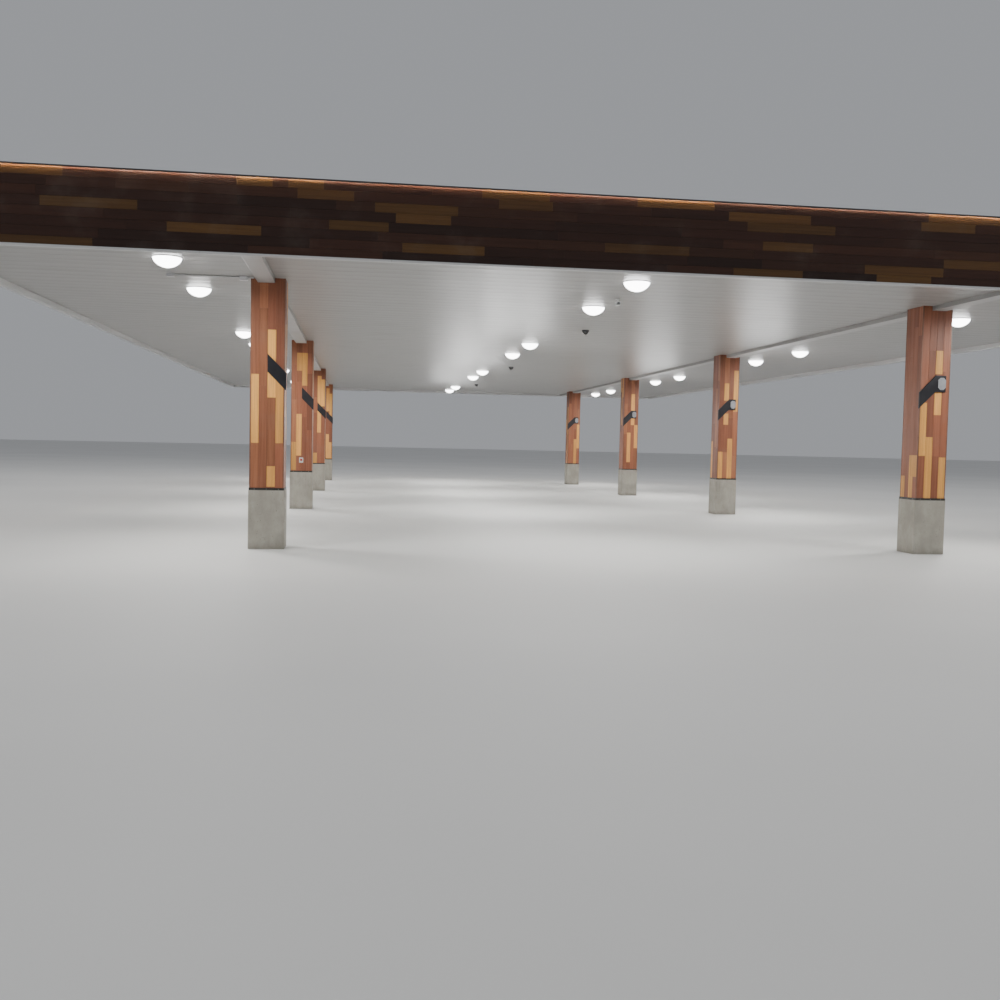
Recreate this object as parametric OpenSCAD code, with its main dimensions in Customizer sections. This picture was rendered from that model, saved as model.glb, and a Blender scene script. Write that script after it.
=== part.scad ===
// Filling station canopy: a flat steel roof on two rows of four clad columns.
// Millimetres, +Z up. The origin is on the floor under the middle of the roof.
// +Y runs along the rows of columns, +X across them.

/* [Layout] */
// Distance between the two rows of columns, centre to centre
row_gap = 12050; // [9000:50:15000]
// Distance between neighbouring columns of a row, centre to centre
column_pitch = 10800; // [8000:50:11000]
// From the end columns to the face of the fascia
end_overhang = 3000; // [1500:50:3200]
// From a row of columns to the face of the fascia beside it
side_overhang = 4775; // [3000:25:6000]
// Height of the soffit over the foot of the columns
soffit_h = 4570; // [4000:10:5500]

/* [Concrete piers] */
// Width of a square pier
pier_w = 604; // [600:2:800]
// Height of a pier
pier_h = 1000; // [600:10:1400]
// Bevel along the upright corners and the top edge of a pier
pier_bevel = 12; // [3:1:20]

/* [Column cladding] */
// Cover width of one plank, on the columns and on the fascia
plank_w = 139; // [120:1:141]
// Depth of the planks and the lining behind them
cladding_t = 20; // [16:1:30]
// Width of the corner trim on each face of a column
corner_leg = 22; // [16:1:40]
// How far the corner trim widens a column past its planks on each side
corner_out = 10; // [4:1:12]
// How far the corner trim stands out from the planks
corner_proud = 2; // [1:0.5:4]
// Width of the shadow line between two planks
joint_w = 4; // [2:1:8]
// Depth of the shadow line between two planks
joint_d = 5; // [2:1:8]
// Height of the flashing between a pier and its cladding
flashing_h = 40; // [20:5:80]
// How far the flashing stands out past the cladding
flashing_lip = 7; // [2:1:12]
// Thickness of the folded flashing
flashing_t = 15; // [10:1:20]

/* [Steel frame] */
// Width of a square steel post
post_w = 200; // [150:5:210]
// Wall of a steel post
post_wall = 12; // [6:1:20]
// Width of the square plate at the foot of a post
base_plate_w = 400; // [300:10:430]
// Thickness of the plates at both ends of a post
plate_t = 22; // [12:1:40]
// Width of the square plate on top of a post
cap_plate_w = 300; // [240:10:340]
// Depth of a girder across the canopy
girder_d = 530; // [400:10:600]
// Width of a girder's flanges
girder_flange_w = 165; // [120:5:220]
// Thickness of a girder's flanges
girder_flange_t = 12; // [8:1:20]
// Thickness of a girder's web
girder_web_t = 10; // [6:1:16]
// Thickness of the stiffeners in a girder over each post
stiffener_t = 10; // [6:1:16]
// Depth of a purlin along the canopy
purlin_d = 200; // [150:10:260]
// Width of a purlin's flanges
purlin_flange_w = 100; // [75:5:120]
// Thickness of a purlin's flanges
purlin_flange_t = 8; // [5:1:12]
// Thickness of a purlin's web
purlin_web_t = 6; // [4:1:10]
// Widest spacing allowed between purlins
purlin_spacing = 1700; // [1200:50:2400]

/* [Deck] */
// Cover width of one deck pan, which is fitted to a whole number of pans
pan_w = 400; // [350:10:600]
// Height of the ribs between pans
rib_h = 75; // [50:5:100]
// Width of the slot that shows under a rib
slot_w = 12; // [8:1:30]
// Thickness of the deck sheet
sheet_t = 2; // [1:0.5:3]

/* [Gutters] */
// How far a gutter hangs below the soffit
gutter_drop = 80; // [40:5:120]
// From the row's centre line to the upright inner side of its gutter
gutter_in = 110; // [108:1:160]
// From the row's centre line to the outer edge of the gutter's floor
gutter_floor_out = 170; // [110:5:190]
// How far the sloped outer side leans out from floor to soffit
gutter_lean = 60; // [20:5:80]
// Height of the gutter's sides over the soffit
gutter_rise = 60; // [20:5:70]
// Thickness of the gutter sheet
gutter_t = 3; // [2:0.5:5]
// Gap between a gutter and the pieces it passes
gutter_clear = 0.3; // [0.2:0.1:0.8]

/* [Fascia] */
// Number of plank courses on the fascia
fascia_courses = 8; // [6:1:9]
// How far the fascia reaches below the soffit
fascia_drop = 105; // [60:5:160]
// Thickness of the fascia planks
board_t = 18; // [14:1:24]
// Size of the square rails behind the planks
rail_w = 40; // [30:5:60]
// Depth of the studs behind the rails
stud_d = 42; // [30:1:60]
// Width of the studs
stud_w = 50; // [40:5:80]
// Wall of the rails and the studs
frame_wall = 4; // [3:0.5:6]
// Widest spacing allowed between studs
stud_spacing = 2000; // [1000:100:3000]
// How far the coping stands out past the planks
coping_out = 36; // [25:1:60]
// Height of the coping's lip
coping_lip = 27; // [15:1:50]
// Thickness of folded trim
trim_t = 3; // [2:0.5:5]
// How far the bottom trim stands out past the planks
sill_out = 6; // [3.5:0.5:12]
// Height of the bottom trim's outer leg
sill_lip = 28; // [15:1:60]
// Width of the light strip under the coping
strip_w = 14; // [8:1:18]
// Height of the light strip under the coping
strip_h = 8; // [5:1:12]
// Gap left in the mitred corners of trim
mitre_gap = 2; // [1:0.5:5]

/* [Lights] */
// From a row of columns to the outer line of lights beside it
light_out = 1360; // [800:20:2400]
// From a pair's middle, at the columns, to each of its lights
light_half_pair = 1665; // [800:5:2600]
// Deck pans by which the outer lines of lights stand nearer to the front than the middle one
outer_light_pans = 1; // [0:1:2]
// Diameter of a light's trim ring
light_d = 450; // [300:10:600]
// Height of a light's trim ring
light_ring_h = 8; // [5:1:30]
// Depth of the drop lens under the ring
lens_drop = 150; // [60:5:200]
// Thickness of the lens
lens_t = 5; // [3:1:8]
// Size of the driver box over the deck, across and along
driver_size = [280, 200]; // [150:10:320]
// Height of the driver box over the ribs of the deck
driver_rise = 38; // [30:1:80]
// Diameter of the conduits over the deck, from driver box to driver box
roof_conduit_d = 22; // [16:1:26]

/* [Fittings] */
// Diameter of a dome camera
dome_d = 160; // [110:5:220]
// Height of a dome camera's base ring
dome_base_h = 36; // [20:1:60]
// Side of the dome cameras from the middle of the canopy
dome_x = 720; // [400:20:2000]
// Places of the dome cameras along the canopy, in column pitches from its middle
dome_steps = [-0.963, 0.13, 1.12];
// Side of the box camera from the middle of the canopy
box_camera_x = 180; // [100:10:400]
// How far the box camera stands behind the line of the first columns
box_camera_in = 610; // [400:10:1400]
// Diameter of the conduit on the soffit
conduit_d = 27; // [16:1:42]
// Height of the bent marker band on a column
marker_h = 300; // [150:10:400]
// Height of the band's lower corner over the foot of the column
marker_z = 2715; // [2000:5:3500]
// How far the band stands out from the cladding
marker_t = 26; // [10:1:60]
// Height of the middle of the stop switch
stop_z = 1330; // [1200:10:1700]

/* [Hidden] */
$fn = 48;
columns_per_row = 4;
rows = ["left", "right"];
row_letters = ["l", "r"];
row_side = [-1, 1];
sides = ["front", "right", "back", "left"];

// Plan of the roof and the columns
half_w = row_gap / 2 + side_overhang;
half_l = column_pitch * (columns_per_row - 1) / 2 + end_overhang;
row_x = row_gap / 2;
cladding_w = 4 * plank_w + 2 * corner_out;
plank_face = cladding_w / 2 - corner_proud;
fascia_t = board_t + rail_w + stud_d;
side_len = [2 * half_w, 2 * half_l, 2 * half_w, 2 * half_l];

// Heights
rib_top = soffit_h + rib_h;
purlin_top = rib_top + purlin_d;
girder_top = purlin_top + girder_d;
fascia_bottom = soffit_h - fascia_drop;
planks_bottom = fascia_bottom + trim_t;
planks_top = planks_bottom + fascia_courses * plank_w;
coping_top = planks_top + trim_t;

// Deck
deck_half_w = half_w - fascia_t;
deck_half_l = half_l - fascia_t;
pan_count = round(2 * deck_half_l / pan_w);
pan_pitch = 2 * deck_half_l / pan_count;
gutter_out = gutter_floor_out + gutter_lean;

// Columns, the first of each row at the front
function column_y(i) = (i - (columns_per_row - 1) / 2) * column_pitch;

// Middle of the deck pan nearest to y
function pan_middle(y) = (floor((y + deck_half_l) / pan_pitch) + 0.5) * pan_pitch - deck_half_l;

// Lights stand in pairs, one on each side of the line of a pair of columns
light_ys = [for (i = [0 : columns_per_row - 1], s = row_side) pan_middle(column_y(i) + s * light_half_pair)];
light_lines = [-row_x - light_out, 0, row_x + light_out];
function line_ys(j) = [for (y = light_ys) y - (j == 1 ? 0 : outer_light_pans * pan_pitch)];
driver_h = rib_h - sheet_t + driver_rise;
dome_ys = [for (s = dome_steps) pan_middle(s * column_pitch)];
dome_h = dome_d / 2 - 10;

// Number of equal bays no wider than spacing
function bays(length, spacing) = ceil(length / spacing);

// Inner purlins stand clear of the posts, outer ones share what is left
post_clear = cap_plate_w / 2 + purlin_flange_w / 2 + 75;
channel_w = 75;
channel_t = 7;
inner_span = 2 * (row_x - post_clear);
outer_span = deck_half_w - channel_w - purlin_flange_w / 2 - row_x - post_clear;
inner_bays = bays(inner_span, purlin_spacing);
outer_bays = bays(outer_span, purlin_spacing);
purlin_xs = concat(
    [for (i = [0 : inner_bays]) i * inner_span / inner_bays - inner_span / 2],
    [for (s = row_side, i = [0 : outer_bays - 1]) s * (row_x + post_clear + i * outer_span / outer_bays)]
);

// Outlines, each with its width along X and its height along Y

// I-section, its foot on the X axis
function i_outline(d, w, tf, tw) = [
    [-w / 2, 0], [w / 2, 0], [w / 2, tf], [tw / 2, tf],
    [tw / 2, d - tf], [w / 2, d - tf], [w / 2, d], [-w / 2, d],
    [-w / 2, d - tf], [-tw / 2, d - tf], [-tw / 2, tf], [-w / 2, tf]
];

// Underside of the deck from one slot to the next, and the same sheet's top side
function pan_under(n) = [for (i = [0 : n - 1], p = [
    [slot_w / 2, 0], [pan_pitch - slot_w / 2, 0],
    [pan_pitch - slot_w / 2, rib_h - sheet_t], [pan_pitch + slot_w / 2, rib_h - sheet_t]
]) if (!(i == n - 1 && p[0] > pan_pitch)) p + [i * pan_pitch, 0]];
function pan_over(n) = [for (i = [n - 1 : -1 : 0], p = [
    [pan_pitch - slot_w / 2 - sheet_t, rib_h], [pan_pitch - slot_w / 2 - sheet_t, sheet_t],
    [slot_w / 2 + sheet_t, sheet_t], [slot_w / 2 + sheet_t, rib_h]
]) p + [i * pan_pitch, 0]];

// Gutter: an upright inner side at +X, a floor, and a leaning outer side
function gutter_outer(grow) = [
    [gutter_in + grow, gutter_rise + grow], [gutter_in + grow, -gutter_drop - grow],
    [-gutter_floor_out - grow, -gutter_drop - grow], [-gutter_out - grow, 0],
    [-gutter_out - grow, gutter_rise + grow]
];
gutter_inner = [
    [-gutter_out + gutter_t, gutter_rise], [-gutter_out + gutter_t, 0],
    [-gutter_floor_out + gutter_t, -gutter_drop + gutter_t],
    [gutter_in - gutter_t, -gutter_drop + gutter_t], [gutter_in - gutter_t, gutter_rise]
];

// Face of the fascia planks, with a shadow line between courses
function fascia_outline() = concat(
    [[board_t, planks_bottom]],
    [[0, planks_bottom]],
    [for (i = [1 : fascia_courses - 1], p = [[0, -1], [1, -1], [1, 1], [0, 1]])
        [p[0] * joint_d, planks_bottom + i * plank_w + p[1] * joint_w / 2]],
    [[0, planks_top], [board_t, planks_top]]
);

// Coping: a flat top with a lip on each side
coping_in = fascia_t + 8;
function coping_outline() = [
    [-coping_out, coping_top - coping_lip], [-coping_out + trim_t, coping_top - coping_lip],
    [-coping_out + trim_t, planks_top], [coping_in - trim_t, planks_top],
    [coping_in - trim_t, coping_top - coping_lip], [coping_in, coping_top - coping_lip],
    [coping_in, coping_top], [-coping_out, coping_top]
];

// Bottom trim: a short leg outside, a floor, and a leg up to the soffit inside
sill_in = fascia_t + 6;
function sill_outline() = [
    [-sill_out, fascia_bottom], [sill_in, fascia_bottom], [sill_in, soffit_h],
    [sill_in - trim_t, soffit_h], [sill_in - trim_t, planks_bottom],
    [-sill_out + trim_t, planks_bottom], [-sill_out + trim_t, fascia_bottom + sill_lip],
    [-sill_out, fascia_bottom + sill_lip]
];

// Edge channel, its web against the fascia studs
function channel_outline() = [
    [fascia_t, rib_top], [fascia_t + channel_w, rib_top], [fascia_t + channel_w, rib_top + purlin_flange_t],
    [fascia_t + channel_t, rib_top + purlin_flange_t], [fascia_t + channel_t, purlin_top - purlin_flange_t],
    [fascia_t + channel_w, purlin_top - purlin_flange_t], [fascia_t + channel_w, purlin_top],
    [fascia_t, purlin_top]
];

// Carries a piece drawn along X with inward at +Y to side k of the roof
module on_side(k) {
    reach = k % 2 == 0 ? half_l : half_w;
    rotate([0, 0, 90 * k]) translate([0, -reach, 0]) children();
}

// Extrudes an outline, in inward distance and height, along side k between mitres
module mitred_run(k, outline) {
    out = 80;
    inward = 300;
    half = side_len[k] / 2 - mitre_gap / 2;
    intersection() {
        translate([-half - out, 0, 0]) rotate([90, 0, 90]) linear_extrude(2 * (half + out)) polygon(outline);
        linear_extrude(coping_top + out)
            polygon([[-half - out, -out], [half + out, -out], [half - inward, inward], [inward - half, inward]]);
    }
}

// Square hollow section along Z, its outer width w and its wall t
module square_tube(w, t, h) {
    linear_extrude(h) difference() {
        square(w, center = true);
        square(w - 2 * t, center = true);
    }
}

// Places a piece at column i of row r, turned so that +X looks at the middle of the canopy
module at_column(r, i) {
    translate([row_side[r] * row_x, column_y(i), 0]) mirror([r, 0, 0]) children();
}

// A cast concrete pier with bevelled corners
module pier(r, i) {
    b = pier_bevel;
    h = pier_w / 2;
    plan = [[-h + b, -h], [h - b, -h], [h, -h + b], [h, h - b], [h - b, h], [-h + b, h], [-h, h - b], [-h, -h + b]];
    color("darkgray") at_column(r, i) linear_extrude(pier_h) polygon(plan);
}

// Folded flashings that the cladding stands on
module column_flashings() {
    outer = cladding_w + 2 * flashing_lip;
    color("dimgray")
        for (r = [0, 1], i = [0 : columns_per_row - 1])
            at_column(r, i) translate([0, 0, pier_h]) square_tube(outer, flashing_t, flashing_h);
}

// The gutter's outer shape along a column's cladding, which is cut to let it in
module gutter_way(length, grow) {
    translate([0, length / 2, soffit_h]) rotate([90, 0, 0]) linear_extrude(length) polygon(gutter_outer(grow));
}

// Plank cladding on the four faces of a column, with trim at its corners
module cladding(r, i) {
    foot = pier_h + flashing_h;
    color("sienna") at_column(r, i) difference() {
        translate([0, 0, foot]) linear_extrude(soffit_h - foot) difference() {
            square(cladding_w, center = true);
            square(cladding_w - 2 * cladding_t, center = true);
            for (a = [0 : 90 : 270]) rotate(a) {
                translate([corner_leg - cladding_w / 2, plank_face]) square([cladding_w - 2 * corner_leg, joint_d]);
                for (j = [-1 : 1])
                    translate([j * plank_w - joint_w / 2, plank_face - joint_d]) square([joint_w, 2 * joint_d]);
            }
        }
        gutter_way(2 * cladding_w, gutter_clear);
    }
}

// Steel posts inside the cladding, with a plate at both ends
module steel_posts() {
    color("slategray")
        for (r = [0, 1], i = [0 : columns_per_row - 1])
            at_column(r, i) {
                translate([-base_plate_w / 2, -base_plate_w / 2, pier_h]) cube([base_plate_w, base_plate_w, plate_t]);
                translate([0, 0, pier_h + plate_t]) square_tube(post_w, post_wall, purlin_top - pier_h - 2 * plate_t);
                translate([-cap_plate_w / 2, -cap_plate_w / 2, purlin_top - plate_t])
                    cube([cap_plate_w, cap_plate_w, plate_t]);
            }
}

// Girders across the canopy, one over each pair of columns, stiffened over the posts
module girders() {
    length = 2 * deck_half_w;
    outline = i_outline(girder_d, girder_flange_w, girder_flange_t, girder_web_t);
    color("steelblue")
        for (i = [0 : columns_per_row - 1]) translate([0, column_y(i), purlin_top]) {
            translate([-length / 2, 0, 0]) rotate([90, 0, 90]) linear_extrude(length) polygon(outline);
            for (r = row_side, s = row_side)
                translate([r * row_x + s * post_w / 2 - stiffener_t / 2, -girder_flange_w / 2 + 3, girder_flange_t])
                    cube([stiffener_t, girder_flange_w - 6, girder_d - 2 * girder_flange_t]);
        }
}

// Purlins along the canopy, hung under the girders
module purlins() {
    length = 2 * (deck_half_l - channel_w);
    outline = i_outline(purlin_d, purlin_flange_w, purlin_flange_t, purlin_web_t);
    color("cadetblue")
        for (x = purlin_xs)
            translate([x, length / 2, rib_top]) rotate([90, 0, 0]) linear_extrude(length) polygon(outline);
}

// Channels round the edge of the steel frame
module edge_channels() {
    color("teal") for (k = [0 : 3]) on_side(k) mitred_run(k, channel_outline());
}

// Ribbed deck between two X positions, its pans running across the canopy
module deck(x0, x1) {
    color("whitesmoke") translate([x0, -deck_half_l, soffit_h]) rotate([90, 0, 90])
        linear_extrude(x1 - x0) polygon(concat(pan_under(pan_count), pan_over(pan_count)));
}

module deck_left() {
    deck(-deck_half_w, -row_x - gutter_out);
}

module deck_centre() {
    deck(-row_x + gutter_in, row_x - gutter_in);
}

module deck_right() {
    deck(row_x + gutter_out, deck_half_w);
}

// Box gutter along a row of columns, open at the top, with a hole for each post
module gutter(r) {
    length = 2 * (half_l - sill_in);
    color("gainsboro") translate([row_side[r] * row_x, 0, 0]) mirror([r, 0, 0]) difference() {
        gutter_way(length, 0);
        translate([0, length / 2 - gutter_t, soffit_h]) rotate([90, 0, 0])
            linear_extrude(length - 2 * gutter_t)
                polygon([for (p = gutter_inner) p[1] == gutter_rise ? p + [0, 1] : p]);
        for (i = [0 : columns_per_row - 1])
            translate([0, column_y(i), soffit_h - gutter_drop])
                cube([post_w + 2 * gutter_clear, post_w + 2 * gutter_clear, 4 * gutter_t], center = true);
    }
}

// Plank panel on side k of the fascia
module fascia(k) {
    color("saddlebrown") on_side(k) mitred_run(k, fascia_outline());
}

// Rails and studs that carry the planks
module fascia_frame() {
    rails = 4;
    height = planks_top - planks_bottom;
    color("silver") for (k = [0 : 3]) on_side(k) {
        inset = k % 2 == 0 ? board_t : fascia_t;
        length = side_len[k] - 2 * inset - (k % 2) * mitre_gap;
        stud_bays = bays(length - stud_w, stud_spacing);
        for (j = [0 : rails - 1])
            translate([-length / 2, board_t + rail_w / 2, planks_bottom + rail_w / 2 + j * (height - rail_w) / (rails - 1)])
                rotate([0, 90, 0]) square_tube(rail_w, frame_wall, length);
        for (j = [0 : stud_bays])
            translate([-length / 2 + stud_w / 2 + j * (length - stud_w) / stud_bays, board_t + rail_w + stud_d / 2, planks_bottom])
                linear_extrude(height) difference() {
                    square([stud_w, stud_d], center = true);
                    square([stud_w - 2 * frame_wall, stud_d - 2 * frame_wall], center = true);
                }
    }
}

// Metal cap over the fascia
module coping() {
    color("darkslategray") for (k = [0 : 3]) on_side(k) mitred_run(k, coping_outline());
}

// Folded trim along the bottom of the fascia
module sill_trim() {
    color("white") for (k = [0 : 3]) on_side(k) mitred_run(k, sill_outline());
}

// Light strip under the lip of the coping
module cove_light() {
    middle = (-coping_out + trim_t) / 2;
    outline = [
        [middle - strip_w / 2, planks_top - strip_h], [middle + strip_w / 2, planks_top - strip_h],
        [middle + strip_w / 2, planks_top], [middle - strip_w / 2, planks_top]
    ];
    color("orange") for (k = [0 : 3]) on_side(k) mitred_run(k, outline);
}

// Trim ring under the deck and driver box over it, for the lights of line j
module lights(j) {
    color("lightgray") for (y = line_ys(j)) translate([light_lines[j], y, soffit_h]) {
        translate([0, 0, -light_ring_h]) cylinder(d1 = light_d - 10, d2 = light_d, h = light_ring_h);
        translate([-driver_size[0] / 2, -driver_size[1] / 2, sheet_t]) cube([driver_size[0], driver_size[1], driver_h]);
    }
}

// Side of the drop lens, a bowl from its rim round to its flat bottom
lens_rim_r = light_d / 2 - 10;
lens_flat_r = lens_rim_r * 0.45;
function lens_side(inset) = [for (a = [0 : 9 : 90])
    [lens_flat_r - inset / 2 + (lens_rim_r - lens_flat_r - inset / 2) * cos(a), -(lens_drop - inset) * sin(a)]];

module light_lens() {
    rotate_extrude() difference() {
        polygon(concat([[0, 0]], lens_side(0)));
        polygon(concat([[0, 1], [lens_rim_r - lens_t, 1]], lens_side(lens_t)));
    }
}

module light_lenses() {
    color("azure")
        for (j = [0 : 2], y = line_ys(j))
            translate([light_lines[j], y, soffit_h - light_ring_h]) light_lens();
}

// Base rings of the dome cameras, and the small box camera near the front
module camera_bases() {
    color("white") {
        for (y = dome_ys)
            translate([dome_x, y, soffit_h - dome_base_h]) cylinder(d1 = dome_d, d2 = dome_d + 16, h = dome_base_h);
        translate([box_camera_x, pan_middle(column_y(0) + box_camera_in), soffit_h]) mirror([0, 0, 1]) {
            cylinder(d = 90, h = 14);
            cylinder(d = 26, h = 70);
            translate([-32, -75, 60]) cube([64, 150, 58]);
        }
    }
}

module camera_domes() {
    color("black") for (y = dome_ys)
        translate([dome_x, y, soffit_h - dome_base_h]) mirror([0, 0, 1]) rotate_extrude()
            polygon([for (a = [0 : 7.5 : 90]) [(dome_d / 2 - 12) * cos(a), dome_h * sin(a)], [0, 0]]);
}

// Conduit on the soffit at the front left column, with a box at its outer end, and the
// conduits over the deck, which lie on its ribs and join the driver boxes of each line
module conduits() {
    y = pan_middle(column_y(0) - cladding_w / 2 - 100);
    reach = light_out - 60;
    color("lightgray") {
        translate([-row_x - gutter_out, y, soffit_h]) {
            translate([-reach, 0, -conduit_d / 2]) rotate([0, 90, 0]) cylinder(d = conduit_d, h = reach);
            translate([-reach - 110, -55, -50]) cube([110, 110, 50]);
        }
        for (j = [0 : 2], i = [1 : len(light_ys) - 1]) {
            ys = line_ys(j);
            translate([light_lines[j], ys[i] - driver_size[1] / 2, rib_top + roof_conduit_d / 2]) rotate([90, 0, 0])
                cylinder(d = roof_conduit_d, h = ys[i] - ys[i - 1] - driver_size[1]);
        }
    }
}

// Dark band on the front face of a column, rising from its inner corner to the middle
module marker_band(r) {
    w = cladding_w / 2;
    tail = r == 1 ? 200 : 0;
    outline = concat(
        [[w + marker_t, marker_z - marker_t], [w + marker_t, marker_z - marker_t + marker_h], [0, marker_z + w + marker_h]],
        r == 1 ? [[-tail, marker_z + w + marker_h], [-tail, marker_z + w]] : [],
        [[0, marker_z + w]]
    );
    translate([0, -cladding_w / 2, 0]) rotate([90, 0, 0]) linear_extrude(marker_t) polygon(outline);
}

module column_markers() {
    color("darkslategray") for (r = [0, 1], i = [0 : columns_per_row - 1]) at_column(r, i) marker_band(r);
}

// Pale faces at the outer ends of the bands on the right row
module marker_lenses() {
    w = cladding_w / 2;
    lens_w = 150;
    lens_h = 222;
    b = 44;
    plan = [[b, 0], [lens_w - b, 0], [lens_w, b], [lens_w, lens_h - b], [lens_w - b, lens_h], [b, lens_h], [0, lens_h - b], [0, b]];
    color("silver") for (i = [0 : columns_per_row - 1])
        at_column(1, i) translate([-194, -w - marker_t, marker_z + w + (marker_h - lens_h) / 2])
            rotate([90, 0, 0]) linear_extrude(8) polygon(plan);
}

// Stop switch on the second column of the left row
module stop_switch() {
    color("red") at_column(0, 1) translate([0, -plank_face, stop_z]) {
        translate([-60, -6, -90]) cube([120, 6, 180]);
        translate([0, -6, 20]) rotate([90, 0, 0]) cylinder(d = 60, h = 34);
    }
}

for (r = [0, 1], i = [0 : columns_per_row - 1]) {
    pier(r, i);
    cladding(r, i);
}
for (r = [0, 1]) gutter(r);
for (k = [0 : 3]) fascia(k);
deck_left();
deck_centre();
deck_right();
lights(0);  // lights_left
lights(1);  // lights_centre
lights(2);  // lights_right
light_lenses();
column_flashings();
steel_posts();
girders();
purlins();
edge_channels();
fascia_frame();
coping();
sill_trim();
cove_light();
camera_domes();
camera_bases();
conduits();
column_markers();
marker_lenses();
stop_switch();
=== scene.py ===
import math
import random

import bmesh
import bpy
from mathutils import Matrix, Vector


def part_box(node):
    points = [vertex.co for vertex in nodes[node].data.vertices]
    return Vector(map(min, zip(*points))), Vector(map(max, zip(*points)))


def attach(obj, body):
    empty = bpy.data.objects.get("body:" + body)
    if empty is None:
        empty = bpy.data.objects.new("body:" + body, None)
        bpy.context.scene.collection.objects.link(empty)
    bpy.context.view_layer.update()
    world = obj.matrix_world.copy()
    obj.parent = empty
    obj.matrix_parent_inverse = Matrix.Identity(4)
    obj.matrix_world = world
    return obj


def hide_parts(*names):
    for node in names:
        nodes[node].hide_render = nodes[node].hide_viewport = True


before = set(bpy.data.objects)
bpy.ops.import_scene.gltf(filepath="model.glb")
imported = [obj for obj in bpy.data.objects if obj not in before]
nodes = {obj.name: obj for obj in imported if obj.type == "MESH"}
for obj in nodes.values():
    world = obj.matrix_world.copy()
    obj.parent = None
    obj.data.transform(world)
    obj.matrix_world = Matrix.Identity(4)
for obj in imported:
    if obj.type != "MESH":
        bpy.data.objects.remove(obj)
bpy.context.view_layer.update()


# Where the main parts of the frame are, in metres

def boxOf(name):
    low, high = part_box(name)
    return Vector(low), Vector(high)


def groupsAlong(name, axis, gap=.25):
    # (low, high) of each separate part of a node along one axis
    places = sorted(v.co[axis] for v in nodes[name].data.vertices)
    found = [[places[0], places[0]]]
    for place in places:
        if place - found[-1][1] > gap:
            found.append([place, place])
        found[-1][1] = place
    return found


def middlesAlong(name, axis):
    return [(low + high) / 2 for low, high in groupsAlong(name, axis)]


soffitZ = boxOf("deck_centre")[0].z
ribTopZ = boxOf("deck_centre")[1].z
purlinTopZ = boxOf("purlins")[1].z
planksLow = boxOf("fascia_front")[0].z
planksHigh = boxOf("fascia_front")[1].z
copingTopZ = boxOf("coping")[1].z
trimLow = boxOf("sill_trim")[0].z
halfLength = -boxOf("fascia_front")[0].y
halfWidth = -boxOf("fascia_left")[0].x
fasciaDepth = boxOf("edge_channels")[0].x + halfWidth
deckLength = boxOf("deck_centre")[1].y - boxOf("deck_centre")[0].y
panPitch = deckLength / round(deckLength / .4)
columnNames = [row + str(i) for row in "lr" for i in range(1, 5)]
columnPlace = {}
for name in columnNames:
    low, high = boxOf("cladding_" + name)
    columnPlace[name] = ((low.x + high.x) / 2, (low.y + high.y) / 2)
claddingHalf = (boxOf("cladding_l1")[1].x - boxOf("cladding_l1")[0].x) / 2
lightLines = [((boxOf(n)[0].x + boxOf(n)[1].x) / 2, middlesAlong(n, 1))
              for n in ("lights_left", "lights_centre", "lights_right")]
lightPlaces = [(x, y) for x, ys in lightLines for y in ys]
girderYs = middlesAlong("girders", 1)
purlinXs = middlesAlong("purlins", 0)
print("frame read:", len(nodes), "nodes,", len(lightPlaces), "lights,", len(purlinXs), "purlins")


# Camera at the viewing angle of the photograph

cameraValues = {
    "place": (-4.490, -34.495, 1.847), "yaw": .13628, "pitch": -.05247, "roll": .02172, "lens": 37.454,
}


def makeCamera():
    v = cameraValues
    yaw, pitch, roll = v["yaw"], v["pitch"], v["roll"]
    ahead = Vector((math.sin(yaw) * math.cos(pitch), math.cos(yaw) * math.cos(pitch), math.sin(pitch)))
    level = Vector((math.cos(yaw), -math.sin(yaw), 0))
    upright = level.cross(ahead)
    right = level * math.cos(roll) + upright * math.sin(roll)
    up = upright * math.cos(roll) - level * math.sin(roll)
    data = bpy.data.cameras.new("camera")
    data.sensor_width = 36
    data.lens = v["lens"]
    data.clip_end = 900
    camera = bpy.data.objects.new("camera", data)
    bpy.context.scene.collection.objects.link(camera)
    turn = Matrix((right, up, -ahead)).transposed().to_4x4()
    camera.matrix_world = Matrix.Translation(Vector(v["place"])) @ turn
    bpy.context.scene.camera = camera


makeCamera()
print("camera made")


# Shader maths

class Value:
    # wraps a socket, so that shader maths reads as plain expressions
    def __init__(self, finish, socket):
        self.finish = finish
        self.socket = socket

    def maths(self, operation, first, second):
        return self.finish.add("ShaderNodeMath", {"operation": operation}, {0: first, 1: second})

    def __add__(self, other):
        return self.maths("ADD", self, other)

    def __radd__(self, other):
        return self.maths("ADD", other, self)

    def __sub__(self, other):
        return self.maths("SUBTRACT", self, other)

    def __rsub__(self, other):
        return self.maths("SUBTRACT", other, self)

    def __mul__(self, other):
        return self.maths("MULTIPLY", self, other)

    def __rmul__(self, other):
        return self.maths("MULTIPLY", other, self)


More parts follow.
